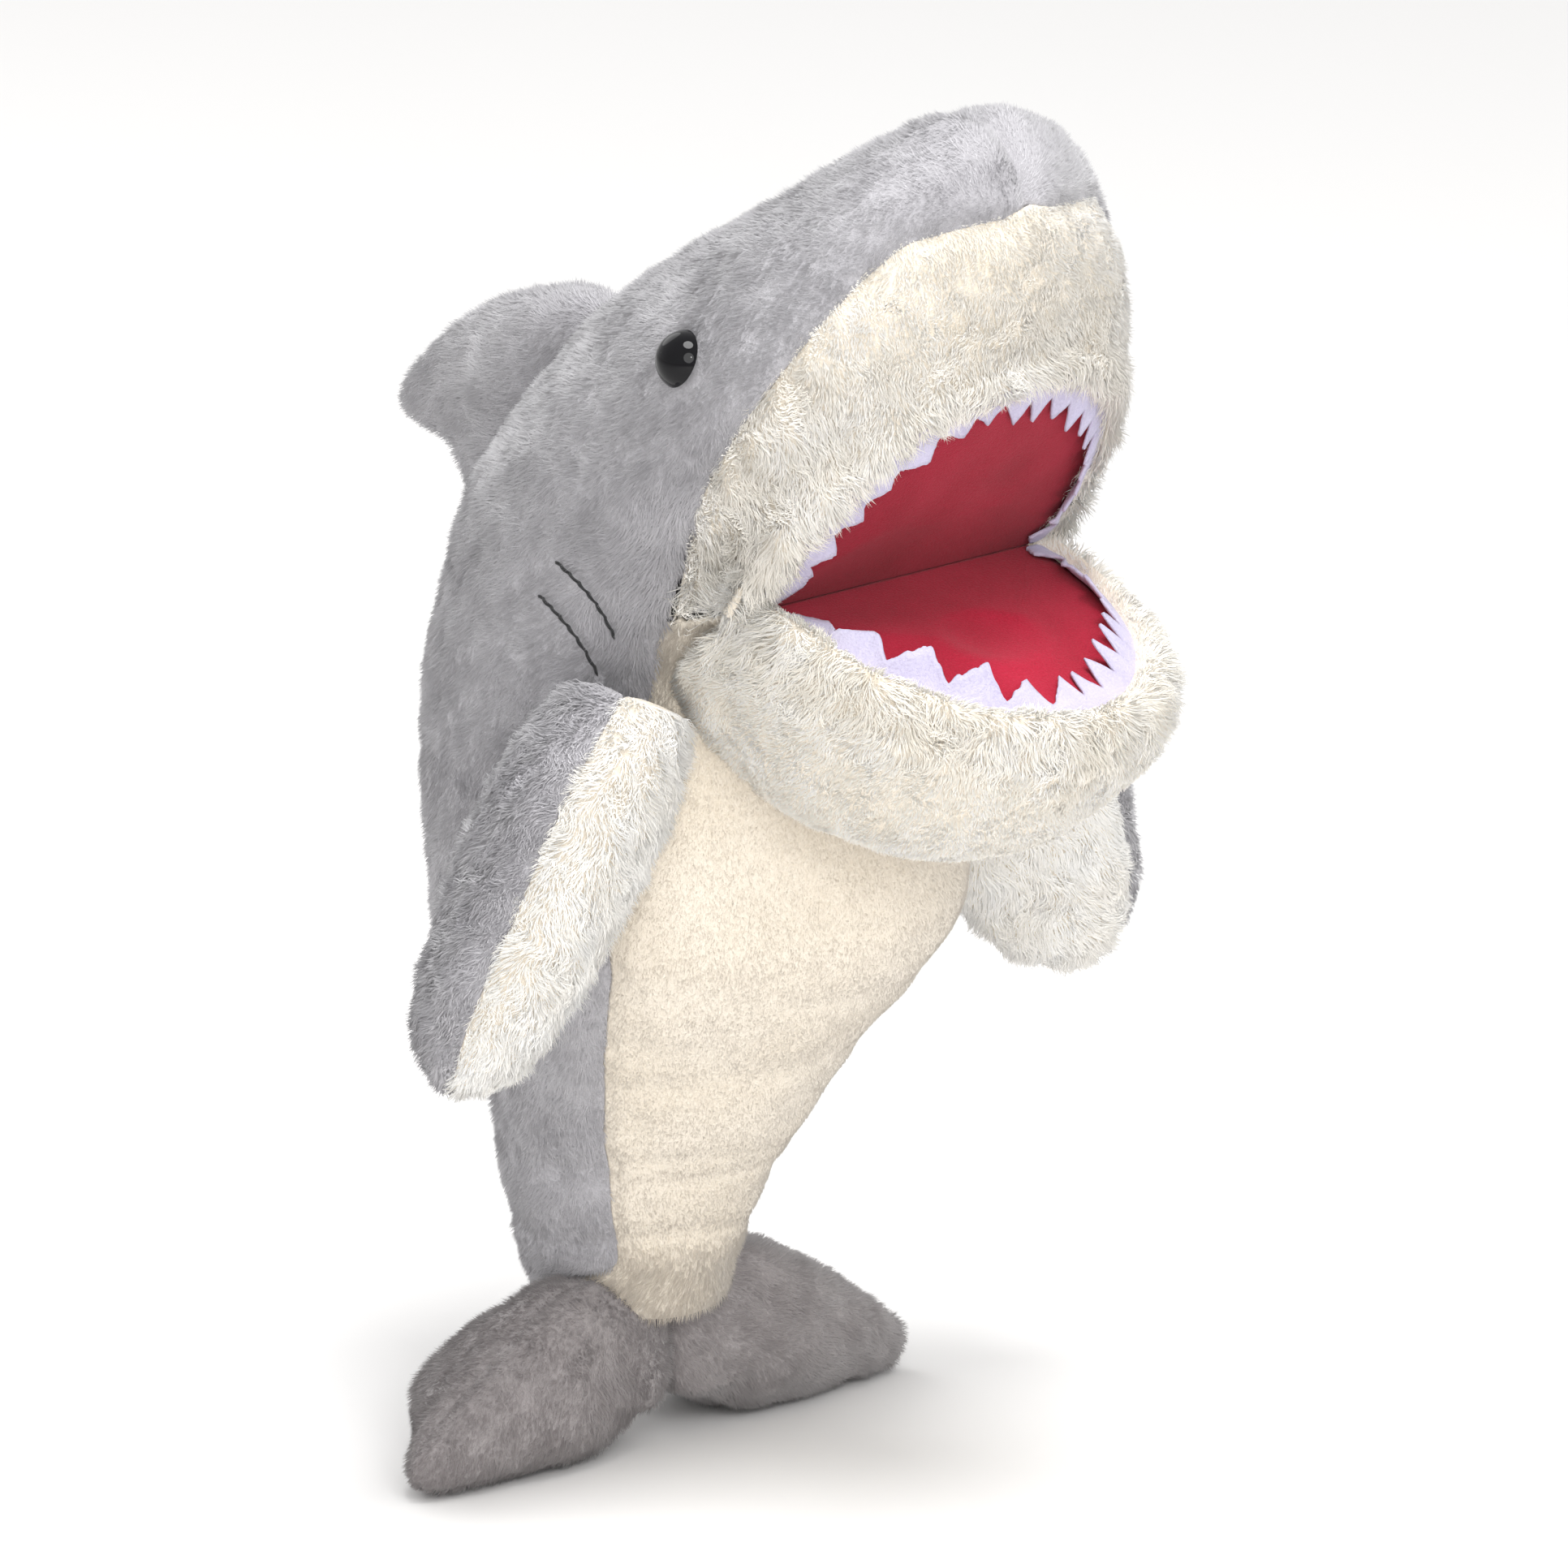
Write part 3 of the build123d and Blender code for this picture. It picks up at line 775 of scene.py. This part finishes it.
def fabric(name, rgb, light, dark, grain, patch, strength, roughness=0.92, sheen=0.3,
           specular=0.15, stretch=(1, 1, 1)):
    """A cloth with fine fibres and broad patches in its colour, and fibre relief."""
    material, tree, shader = new_material(name, rgb, roughness, sheen, specular)
    mapping = tree.nodes.new("ShaderNodeMapping")
    mapping.inputs["Scale"].default_value = stretch
    tree.links.new(object_place(tree), mapping.inputs["Vector"])
    fibres = noise_texture(tree, mapping.outputs["Vector"], grain, 4, 0.65)
    broad = noise_texture(tree, mapping.outputs["Vector"], patch)
    both = tree.nodes.new("ShaderNodeMix")
    both.data_type = "FLOAT"
    both.inputs[0].default_value = 0.45
    tree.links.new(fibres, both.inputs[2])
    tree.links.new(broad, both.inputs[3])
    colour_by(tree, shader, both.outputs[0], (0.32, dark), (0.68, light), (0.5, rgb))
    add_relief(tree, shader, fibres, strength, 0.0008)
    return material


grey_skin = fabric("grey_plush", (174, 172, 176), (188, 186, 190), (156, 154, 158), 900, 26, 0.8)
# The flukes' cloth is coloured darker and warmer than the body's grey: partly a darker cloth, and
# partly painted shade down by the floor.
dark_shaded_skin = fabric("dark_grey_plush", (156, 150, 150), (170, 164, 164), (138, 132, 132), 900,
                   26, 0.8)
# The cream cloth, which shows most on the belly, is coloured darker and warmer than the chin's and
# fins' pile: partly its own cream, and partly painted shade under the head and painted warm light
# from the floor.
cream_skin = fabric("cream_plush", (234, 224, 208), (240, 231, 217), (225, 213, 194), 900, 22,
                    0.7)
# The upper palate's felt is coloured darker than the lower palate's: painted shade, for the upper
# palate faces down into the mouth.
felt_upper_shaded = fabric("red_felt_upper", (152, 22, 46), (166, 30, 56), (134, 14, 36), 1500, 35, 0.5,
                    sheen=0.1)
felt_lower = fabric("red_felt_lower", (168, 26, 52), (182, 34, 62), (148, 18, 42), 1500, 35, 0.5,
                    sheen=0.1)
felt_white = fabric("white_felt", (198, 193, 218), (210, 206, 227), (182, 176, 202), 1300, 60,
                    0.7, sheen=0.2)
thread_black = fabric("black_thread", (22, 21, 24), (40, 39, 44), (10, 10, 12), 2600, 300, 0.9,
                      stretch=(1, 1, 3))
board_sheet = fabric("mouth_board", (188, 174, 150), (204, 191, 168), (168, 154, 130), 260, 30,
                     0.3, sheen=0.0)


def eye_material():
    material, tree, shader = new_material("gloss_eye", (9, 9, 11), 0.04, 0.0, 0.22)
    swirl = noise_texture(tree, object_place(tree), 140)
    colour_by(tree, shader, swirl, (0, (6, 6, 8)), (1, (17, 16, 19)))
    return material


def washer_material():
    material, tree, shader = new_material("lock_washer", (225, 225, 222), 0.45, 0.0, 0.4)
    add_relief(tree, shader, noise_texture(tree, object_place(tree), 400), 0.2, 0.0003)
    return material


def shades(name, colours, glow=0.0):
    """Pile fibres in several close colours; the glow stands for light scattered in fur."""
    made = []
    for i, rgb in enumerate(colours):
        material, _, shader = new_material(f"{name}_{i}", rgb, 0.85, 0.35, 0.12)
        shader.inputs["Emission Color"].default_value = linear(rgb)
        shader.inputs["Emission Strength"].default_value = glow
        made.append(material)
    return made


grey_pile = shades("grey_pile", [(197, 195, 199), (188, 186, 190), (205, 203, 207),
                                 (177, 175, 179)])
# The flukes' pile is coloured darker than the body's grey pile: partly a darker cloth, and partly
# painted shade down by the floor.
dark_pile = shades("dark_pile", [(170, 163, 163), (161, 154, 154), (178, 171, 171),
                                 (151, 144, 144)])
# The belly's pile is coloured darker and warmer than the other cream piles: partly its own shorter
# pile, and partly painted shade under the head and painted warm light from the floor.
cream_pile = shades("cream_pile", [(229, 218, 202), (225, 213, 196), (233, 223, 208),
                                   (220, 207, 189)])
# The muzzle's, chin's and fins' piles are coloured near white and glow a little: painted light,
# for the light that white fur scatters; the fins' pile glows most.
long_pile = shades("long_pile", [(250, 246, 238), (247, 242, 232), (252, 249, 244),
                                 (242, 236, 225)], glow=0.06)
chin_pile = shades("chin_pile", [(254, 250, 241), (252, 246, 234), (255, 252, 246),
                                 (248, 241, 227)], glow=0.07)
fin_pile = shades("fin_pile", [(254, 252, 247), (253, 250, 243), (255, 254, 251),
                               (250, 246, 238)], glow=0.14)

# ---------------------------------------------------------------- pile


ROOT_DEPTH = 0.6  # how deep the spikes start in the cloth
LOWEST_TIP = 0.15  # pile stays this far above the floor


def pile_mesh(name, skin, per_mm2, width, materials, seed, lean=(0.75, 1.15), ruffle=0.35,
              keep=None, clump=0.0, bent=False, within=None, uneven=1.0):
    """Plush pile as closed three-sided spikes, rooted a little inside a panel's face.

    The spikes lean along the panel's flow. `keep` and `within` give a share of the pile's
    length by place, `clump` the size of the tufts, `bent` a bend half way, and `uneven` how
    much lean and colour wander from place to place.
    """
    draw = np.random.default_rng(seed)
    mesh = skin.obj.data
    mesh.calc_loop_triangles()
    corners = np.empty(len(mesh.loop_triangles) * 3, np.int32)
    mesh.loop_triangles.foreach_get("vertices", corners)
    corners = corners.reshape(-1, 3)
    points, normals = mesh_points(skin.obj), mesh_normals(skin.obj)
    a, b, c = (points[corners[:, k]] for k in range(3))
    area = np.linalg.norm(np.cross(b - a, c - a), axis=1) / 2
    number = int(area.sum() * per_mm2)
    pick = np.searchsorted(np.cumsum(area), draw.random(number) * area.sum())
    pick = np.minimum(pick, len(area) - 1)
    u, v = draw.random(number), draw.random(number)
    over = u + v > 1
    u[over], v[over] = 1 - u[over], 1 - v[over]
    weights = np.stack([1 - u - v, u, v], 1)[..., None]

    def spread(values):
        return (values[corners[pick]] * (weights if values.ndim > 1 else weights[..., 0])).sum(1)

    root, normal, flow = spread(points), spread(normals), spread(skin.flow)
    length = spread(skin.pile) * draw.uniform(0.72, 1.12, number)
    beside = spread(skin.seam)
    length *= 0.72 + 0.28 * smoothstep(0, 5, beside)
    limits = [limit for limit in (keep, within) if limit is not None]
    if limits:
        factor = np.prod([limit(root) for limit in limits], axis=0)
        chosen = factor > 0.05
        root, normal, flow, length = root[chosen], normal[chosen], flow[chosen], length[chosen]
        length *= factor[chosen]
        number = len(root)
    normal = unit(normal)
    flow = unit(flow - normal * (flow * normal).sum(1, keepdims=True))
    cross = np.cross(normal, flow)
    turn = ruffle * (noise(root, 14, seed + 1) + 0.6 * noise(root, 6, seed + 2)
                     + 0.8 * noise(root, 40, seed + 3)) + draw.normal(0, 0.28, number)
    swept = turned(flow, cross, turn)
    tilt = draw.uniform(*lean, number) + 0.22 * uneven * noise(root, 9, seed + 4)
    tilt = np.clip(tilt, 0.15, 1.42)
    first = turned(normal, swept, tilt)
    droop = np.clip(tilt + draw.uniform(0.05, 0.45, number), 0, 1.5)
    second = turned(normal, swept, droop)
    if clump:
        # The tips of one tuft lean the same way.
        second += 0.5 * np.stack([noise(root, 2.2 * clump, seed + 6 + k) for k in range(3)], 1)
        second = unit(second)
    middle = root + first * (length * 0.5)[:, None]
    tip = middle + second * (length * 0.5)[:, None]
    twist = draw.normal(0, 0.5, number)
    across = unit(np.cross(first, normal))
    across = turned(across, np.cross(across, first), twist)
    across *= (width * draw.uniform(0.8, 1.25, number) / 2)[:, None]
    sunk = root - normal * ROOT_DEPTH
    depth = np.cross(first, across) * 0.9
    ring = (-across, across, depth)
    if bent:
        corners = [sunk + r for r in ring] + [middle + r * 0.8 for r in ring] + [tip]
        sides = np.array([0, 1, 4, 3, 1, 2, 5, 4, 2, 0, 3, 5, 3, 4, 6, 4, 5, 6, 5, 3, 6])
        first_corner = np.array([0, 4, 8, 12, 15, 18])
    else:
        corners = [sunk + r for r in ring] + [tip]
        sides = np.array([0, 1, 3, 1, 2, 3, 2, 0, 3])
        first_corner = np.array([0, 3, 6])
    verts = np.stack(corners, 1)
    verts[..., 2] = np.maximum(verts[..., 2], LOWEST_TIP)
    per_verts, per_loops, per_faces = len(corners), len(sides), len(first_corner)
    loops = ((np.arange(number) * per_verts)[:, None] + sides).ravel()
    starts = ((np.arange(number) * per_loops)[:, None] + first_corner).ravel()
    pile = bpy.data.meshes.new(name)
    pile.vertices.add(number * per_verts)
    pile.loops.add(number * per_loops)
    pile.polygons.add(number * per_faces)
    pile.vertices.foreach_set("co", (verts * MM).astype(np.float32).ravel())
    pile.loops.foreach_set("vertex_index", loops.astype(np.int32))
    pile.polygons.foreach_set("loop_start", starts.astype(np.int32))
    pile.polygons.foreach_set("use_smooth", np.ones(number * per_faces, bool))
    patch = 0.9 * uneven * noise(root, 22, seed + 9) + draw.normal(0, 0.9, number)
    # The four shades of a pile are listed as plain, darker, lightest and darkest.
    order = np.array([3, 1, 0, 2])[np.digitize(patch, [-0.9, 0.2, 1.1])]
    for material in materials:
        pile.materials.append(material)
    pile.polygons.foreach_set("material_index", np.repeat(order, per_faces).astype(np.int32))
    pile.update(calc_edges=True)
    soft = unit(normal * 0.75 + second * 0.45)
    custom = pile.attributes.new("custom_normal", "FLOAT_VECTOR", "POINT")
    soft = np.repeat(soft, per_verts, axis=0).astype(np.float32)
    custom.data.foreach_set("vector", soft.ravel())
    return add_to_scene(name, pile)


eye_centres = np.array([(s * EYE[2], foot - EYE[0], EYE[1]) for s in (1, -1)])
GILL_STEPS = 40
gill_lines = []
for route in GILLS:
    dense = smooth_curve([0, 1, 2], np.array(route, float), np.linspace(0, 2, GILL_STEPS))
    for sign in (1, -1):
        laid = on_hull(np.stack(
            [np.full(GILL_STEPS, sign * 90.0), foot - dense[:, 0], dense[:, 1]], 1))
        run = np.linspace(-1, 1, GILL_STEPS)
        gill_lines.append(np.stack(
            [np.polyval(np.polyfit(run, laid[:, k], 3), run) for k in range(3)], 1))
gill_points = np.concatenate(gill_lines)
EYE_BARE, EYE_SHORT = 8.6, 13  # no pile up to the first radius, and full pile past the second


def clear_of_details(root):
    """Pile length by place: none under the eyes, and parted at the gill stitches."""
    factor = np.ones(len(root))
    for centre in eye_centres:
        gap = np.linalg.norm(root - centre, axis=1)
        factor *= np.where(
            gap < EYE_BARE, 0, 0.7 + 0.3 * smoothstep(EYE_BARE, EYE_SHORT, gap))
    # Only the sides of the body at the height of the gills are measured against the gills.
    near = np.flatnonzero((np.abs(root[:, 0]) > 55) & (root[:, 2] > 244) & (root[:, 2] < 292))
    if len(near):
        gap = np.full(len(near), 1e3)
        for point in gill_points:
            gap = np.minimum(gap, np.linalg.norm(root[near] - point, axis=1))
        factor[near] *= 0.42 + 0.58 * smoothstep(0.6, 4.0, gap)
    return factor


def neck_blend(obj):
    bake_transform(obj)


def jaw_blend(obj):
    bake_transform(obj)


CLOTH_THICKNESS, FELT_THICKNESS = 0.0012, 0.0009  # in metres


def on(body):
    return lambda obj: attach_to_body(obj, body)


def cover(name, material, slot, replaced, attach, split=None, **how):
    """A panel's cloth and its pile, which may be split in two at a value of a coordinate."""
    skin = skins[name.replace("*", "plush")]
    skin.obj.data.materials.append(material)
    smooth = skin.obj.modifiers.new("smooth", "SUBSURF")
    smooth.levels = smooth.render_levels = 1
    thicken(skin.obj, "cloth", CLOTH_THICKNESS)
    attach(skin.obj)
    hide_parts(*replaced)
    parts = [("", None)]
    if split:
        across, at, ends = split
        parts = [(f"_{ends[0]}", lambda root: root[:, across] >= at),
                 (f"_{ends[1]}", lambda root: root[:, across] < at)]
    for end, within in parts:
        pile = pile_mesh(name.replace("*", "pile") + end, skin, within=within, **how)
        attach(pile)


LONG = dict(lean=(0.6, 1.15), clump=4.0, bent=True)
HALVES = (0, 0, ("left", "right"))
for number, side in enumerate(("left", "right")):
    cover(f"back_*_{side}", grey_skin, "grey_plush", (f"back_panel_{side}", f"snout_panel_{side}"),
          neck_blend, (2, 262, ("upper", "lower")), per_mm2=2.2, width=0.38,
          materials=grey_pile, seed=100 + number, keep=clear_of_details)
cover("belly_*", cream_skin, "cream_plush", ("belly_panel", "body_filling", "tail_bead_bag"),
      on("body"), HALVES, per_mm2=3.0, width=0.3, materials=cream_pile, seed=110, ruffle=0.12,
      lean=(1.0, 1.25), uneven=0.2)
cover("muzzle_*", cream_skin, "cream_long_plush", ("muzzle_panel", "snout_filling", "upper_lip"),
      neck_blend, HALVES, per_mm2=2.4, width=0.36, materials=long_pile, seed=120, ruffle=0.45,
      **LONG)
cover("chin_*", cream_skin, "cream_long_plush", ("chin_panel", "jaw_filling", "lower_lip"),
      jaw_blend, HALVES, per_mm2=2.1, width=0.38, materials=chin_pile, seed=130, ruffle=0.5,
      **LONG)

for number, side in enumerate(("left", "right")):
    shoulder = np.array(joints[f"pectoral_{side}_swing"]["pos_m"]) / MM
    hang = down * np.array([1 if side == "left" else -1, 1, 1])

    def shoulder_blend(obj, side=side, shoulder=shoulder, hang=hang):
        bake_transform(obj)

    for colour, material, piles, slot, filling in (
        ("grey", grey_skin, grey_pile, "grey_plush", ()),
        ("cream", cream_skin, fin_pile, "cream_long_plush", (f"pectoral_{side}_filling",)),
    ):
        cover(f"pectoral_{side}_{colour}_*", material, slot,
              (f"pectoral_{side}_{colour}_panel", *filling), shoulder_blend, per_mm2=1.95,
              width=0.39, materials=piles, seed=140 + 10 * number + len(colour), ruffle=0.5,
              **LONG)

    # A point 20 mm above the dorsal fin's joint.
    root = np.array(joints["dorsal_flex"]["pos_m"]) / MM + np.array([0, 0, 20])

    def dorsal_blend(obj, root=root):
        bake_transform(obj)

    filling = ("dorsal_filling",) if side == "left" else ()
    cover(f"dorsal_*_{side}", grey_skin, "grey_plush", (f"dorsal_panel_{side}", *filling),
          dorsal_blend, per_mm2=2.5, width=0.36, materials=grey_pile, seed=170 + number)
    for face, filling in (("front", (f"fluke_{side}_bead_bag",)), ("back", ())):
        cover(f"fluke_{side}_{face}_*", dark_shaded_skin, "dark_grey_plush",
              (f"fluke_{side}_{face}_panel", *filling), on("body"), per_mm2=2.5, width=0.36,
              materials=dark_pile, seed=180 + number * 10 + len(face))

# ---------------------------------------------------------------- mouth


def lay_felt(obj, node, upper, material, body):
    """Turn a felt piece's face into the mouth, give it its material and a thickness, fix it to its
    body and hide the part it stands for.
    """
    mesh = obj.data
    into = palate_points(0, 0, 1.0, upper) - palate_points(0, 0, 0.0, upper)
    if np.array(mesh.polygons[len(mesh.polygons) // 2].normal) @ into < 0:
        mesh.flip_normals()
    mesh.materials.append(material)
    thicken(obj, "felt", FELT_THICKNESS)
    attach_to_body(obj, body)
    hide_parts(node)


def palate_sheet(name, node, upper, half_width, length, power, material, body):
    """The felt lining of one half of the mouth, laid on its board."""
    rings = 26
    x, out = horseshoe(np.linspace(0, 1, 120), half_width, length, power)
    centre = np.array([0, length * 0.4])
    rim = np.stack([x, out], 1)
    closing = np.linspace(rim[-1], rim[0], 42)[1:-1]
    rim = np.concatenate([rim, closing])
    scale = np.linspace(0, 1, rings)[1:]
    flat = centre + (rim[None] - centre) * scale[:, None, None]
    crown = np.tile(1.2 + 2.6 * (1 - scale[:, None] ** 2), (1, len(rim)))
    on_board = np.concatenate([flat, flat[..., :1] * 0], -1).reshape(-1, 3)
    crown += 0.5 * noise(on_board, 34, 31).reshape(crown.shape) * (1 - scale[:, None])
    if not upper:
        dent = np.hypot(flat[..., 0], flat[..., 1] - 37)
        crown += 0.9 * bump(dent - 17, 5) - 1.6 * bump(dent, 13)
    crown = np.maximum(crown, 0.4)
    crown *= 0.25 + 0.75 * smoothstep(0, 9, flat[..., 1])
    # Low near the fold, where the two palates meet when the mouth closes.
    crown = np.minimum(crown, 0.25 + 0.11 * np.maximum(flat[..., 1], 0))
    points = palate_points(flat[..., 0], flat[..., 1], crown, upper).reshape(-1, 3)
    middle = palate_points(np.zeros(1), centre[1], crown[0].mean(), upper)
    points = np.concatenate([points, middle])
    columns = flat.shape[1]
    quads = grid_faces(rings - 1, columns, wrap=True)
    last = len(points) - 1
    fan = [(last, (k + 1) % columns, k) for k in range(columns)]
    if upper:
        faces = [tuple(q[::-1]) for q in quads] + fan
    else:
        faces = [tuple(q) for q in quads] + [f[::-1] for f in fan]
    obj = make_object(name, points, faces)
    turn_outward(obj)
    lay_felt(obj, node, upper, material, body)


palate_sheet("upper_palate", "upper_palate_felt", True, 56, 82, 2.3, felt_upper_shaded, "snout")
palate_sheet("lower_palate", "lower_palate_felt", False, 54, 79, 2.1, felt_lower, "jaw")

# Teeth: where each point stands along the strip, from the toy's left corner (0) round
# the front (0.5) to its right corner (1), and how deep it is.
UPPER_TEETH = (
    (0.045, 7), (0.085, 8), (0.125, 9), (0.165, 9), (0.205, 10), (0.25, 10), (0.295, 10),
    (0.335, 9), (0.375, 10), (0.415, 9), (0.455, 10), (0.5, 9), (0.55, 7), (0.61, 7),
    (0.675, 6), (0.74, 6), (0.80, 6), (0.865, 6), (0.925, 5),
)
LOWER_TEETH = (
    (0.05, 7), (0.11, 8), (0.175, 9), (0.235, 10), (0.285, 12), (0.325, 13), (0.365, 13),
    (0.405, 12), (0.45, 12), (0.50, 11), (0.575, 11), (0.66, 11), (0.75, 11), (0.84, 10),
    (0.92, 9),
)


def noise_along(share, length, size, seed):
    return noise(np.outer(share * length, (1, 0, 0)), size, seed)


def teeth_strip(name, node, upper, teeth, edge, body, stands):
    """A white felt strip with its inner edge cut into points.

    It stands off the palate by so many degrees at the corners, the sides and the front.
    """
    half_width, length, power = edge
    base = 5.5  # the width of the strip that stays uncut
    share = np.linspace(0.012, 0.988, 361)
    tips = np.array([tip for tip, _ in teeth])
    cuts = np.concatenate([[0.0], (tips[1:] * 0.5 + tips[:-1] * 0.5), [1.0]])
    knots, heights = [], []
    for i, (tip, deep) in enumerate(teeth):
        wide = cuts[i + 1] - cuts[i]
        skew = 0.0 if wide < 0.06 else -0.17 * wide
        knots += [cuts[i], tip + skew]
        heights += [base * 0.25, deep]
    depth = np.interp(share, knots + [1.0], heights + [base * 0.25])
    draw = np.random.default_rng(77 + upper)
    depth = depth + 0.35 * noise_along(share, 900, 9, 60 + upper)
    depth = np.maximum(depth + draw.normal(0, 0.12, len(share)), 0.2)
    rows = []
    stand = np.radians(np.interp(share, (0, 0.3, 0.42, 0.55, 0.65, 1), stands))
    x0, out0 = horseshoe(share, half_width + 2.5, length + 2.5, power)
    x1, out1 = horseshoe(share, half_width - 14, length - 14, power)
    gap = np.hypot(x1 - x0, out1 - out0)
    for level in np.linspace(0, 1, 7):
        run = (base + depth) * level
        inset = -1.5 + run * np.cos(stand * (0.6 + 0.4 * level))
        part = (inset + 2.5) / np.maximum(gap, 1e-6)
        x, out = x0 + (x1 - x0) * part, out0 + (out1 - out0) * part
        curl = 1.2 + run * np.sin(stand * (0.6 + 0.4 * level))
        lift = 0.8 * noise_along(share, 700, 60, 90) * level
        high = np.minimum(curl + lift, 0.7 + 0.3 * np.maximum(out, 0))
        rows.append(palate_points(x, out, high, upper))
    points = np.array(rows)
    obj = make_object(name, points.reshape(-1, 3), grid_faces(*points.shape[:2]))
    lay_felt(obj, node, upper, felt_white, body)


teeth_strip("upper_teeth_strip", "upper_teeth", True, UPPER_TEETH, UPPER_EDGE, "snout",
            (35, 30, 15, 12, 22, 24))
teeth_strip("lower_teeth_strip", "lower_teeth", False, LOWER_TEETH, LOWER_EDGE, "jaw",
            (45, 35, 12, 15, 48, 52))

# ---------------------------------------------------------------- stitches and hard parts


def thread_mesh(lines):
    """Thread laid on the plush, dipping a little at each stitch."""
    radius, around, stitches = 0.55, 8, 7
    verts, faces = [], []
    for line in lines:
        n = len(line)
        outward = np.stack([np.sign(line[:, 0]), 0.15 + 0 * line[:, 0], 0.1 + 0 * line[:, 0]], 1)
        outward = unit(outward)
        dip = 1.35 - 0.55 * np.abs(np.sin(np.linspace(0, math.pi * stitches, n))) ** 6
        centre = line + outward * dip[:, None]
        side = np.cross(unit(np.gradient(centre, axis=0)), outward)
        angle = np.linspace(0, 2 * math.pi, around, endpoint=False)
        taper = np.ones(n)
        taper[[0, -1]] = 0.25
        ply = 1 + 0.14 * np.sin(angle[None] * 2 + np.arange(n)[:, None] * 0.9)
        ring = (centre[:, None]
                + (radius * taper[:, None] * ply * np.cos(angle))[..., None] * side[:, None]
                + (radius * taper[:, None] * ply * np.sin(angle))[..., None] * outward[:, None])
        offset = len(verts) * n * around
        faces.append(grid_faces(n, around, wrap=True) + offset)
        verts.append(ring.reshape(-1, 3))
    obj = make_object("gill_thread", np.concatenate(verts), np.concatenate(faces))
    turn_outward(obj, end_sides=around)
    obj.data.materials.append(thread_black)
    return obj


gill_thread = thread_mesh(gill_lines)
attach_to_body(gill_thread, "body")
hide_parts("gill_stitches")

gloss, washer = eye_material(), washer_material()
kept_nodes = {
    "eye_left": gloss, "eye_right": gloss, "eye_washer_left": washer, "eye_washer_right": washer,
    "upper_mouth_board": board_sheet, "lower_mouth_board": board_sheet,
}
for node, material in kept_nodes.items():
    for obj in bpy.data.objects:
        if obj.type == "MESH" and obj.name.split(".")[0] == node:
            obj.data.materials.clear()
            obj.data.materials.append(material)

# ---------------------------------------------------------------- stage, light, camera

FLOOR_HALF, FLOOR_HEIGHT = 4e4, -0.2
floor = make_object("floor", [(x * FLOOR_HALF, y * FLOOR_HALF, FLOOR_HEIGHT) for x, y in (
    (-1, -1), (1, -1), (1, 1), (-1, 1))], [(0, 1, 2, 3)])
floor.data.materials.append(new_material("floor", (236, 235, 234), 0.75, 0.0, 0.1)[0])

world = bpy.data.worlds.new("studio")
bpy.context.scene.world = world
world.use_nodes = True
sky = world.node_tree.nodes["Background"].inputs
sky["Color"].default_value = (1.0, 1.0, 1.0, 1.0)
sky["Strength"].default_value = 0.74


def aim_from(obj, place, away):
    """Put a light or camera at a place, facing against the given direction."""
    obj.location = place
    obj.rotation_mode = "QUATERNION"
    obj.rotation_quaternion = away.to_track_quat("Z", "Y")


def area_light(name, place, target, size, power):
    light = bpy.data.lights.new(name, "AREA")
    light.shape = "DISK"
    light.size = size
    light.energy = power
    aim_from(add_to_scene(name, light), place, Vector(place) - Vector(target))


area_light("key", (-0.3, -0.65, 2.6), (0, 0, 0.2), 1.3, 54)
area_light("fill", (-1.2, -1.7, 1.2), (0, 0, 0.2), 1.5, 20)
area_light("back", (0.3, 1.8, 1.5), (0, 0, 0.2), 1.5, 8)
area_light("spark", (-0.9, -1.9, 1.3), (0, 0, 0.3), 0.16, 2.5)

FRAME_WIDTH = 449.302326 * MM  # what the picture takes in from side to side, in metres
azimuth, elevation = math.radians(-45), math.radians(14.8)
lens, sensor = 500.0, 36.0
distance = FRAME_WIDTH * lens / sensor
aim = Vector((0.0, (foot - 46.2) * MM, 0.2048))
back = Vector((math.sin(azimuth) * math.cos(elevation), -math.cos(azimuth) * math.cos(elevation),
               math.sin(elevation)))
camera_data = bpy.data.cameras.new("camera")
camera_data.lens = lens
camera_data.sensor_width = sensor
camera_data.clip_start, camera_data.clip_end = 0.1, 60
camera = add_to_scene("camera", camera_data)
aim_from(camera, aim + back * distance, back)
bpy.context.scene.camera = camera
bpy.context.scene.view_settings.view_transform = "Standard"
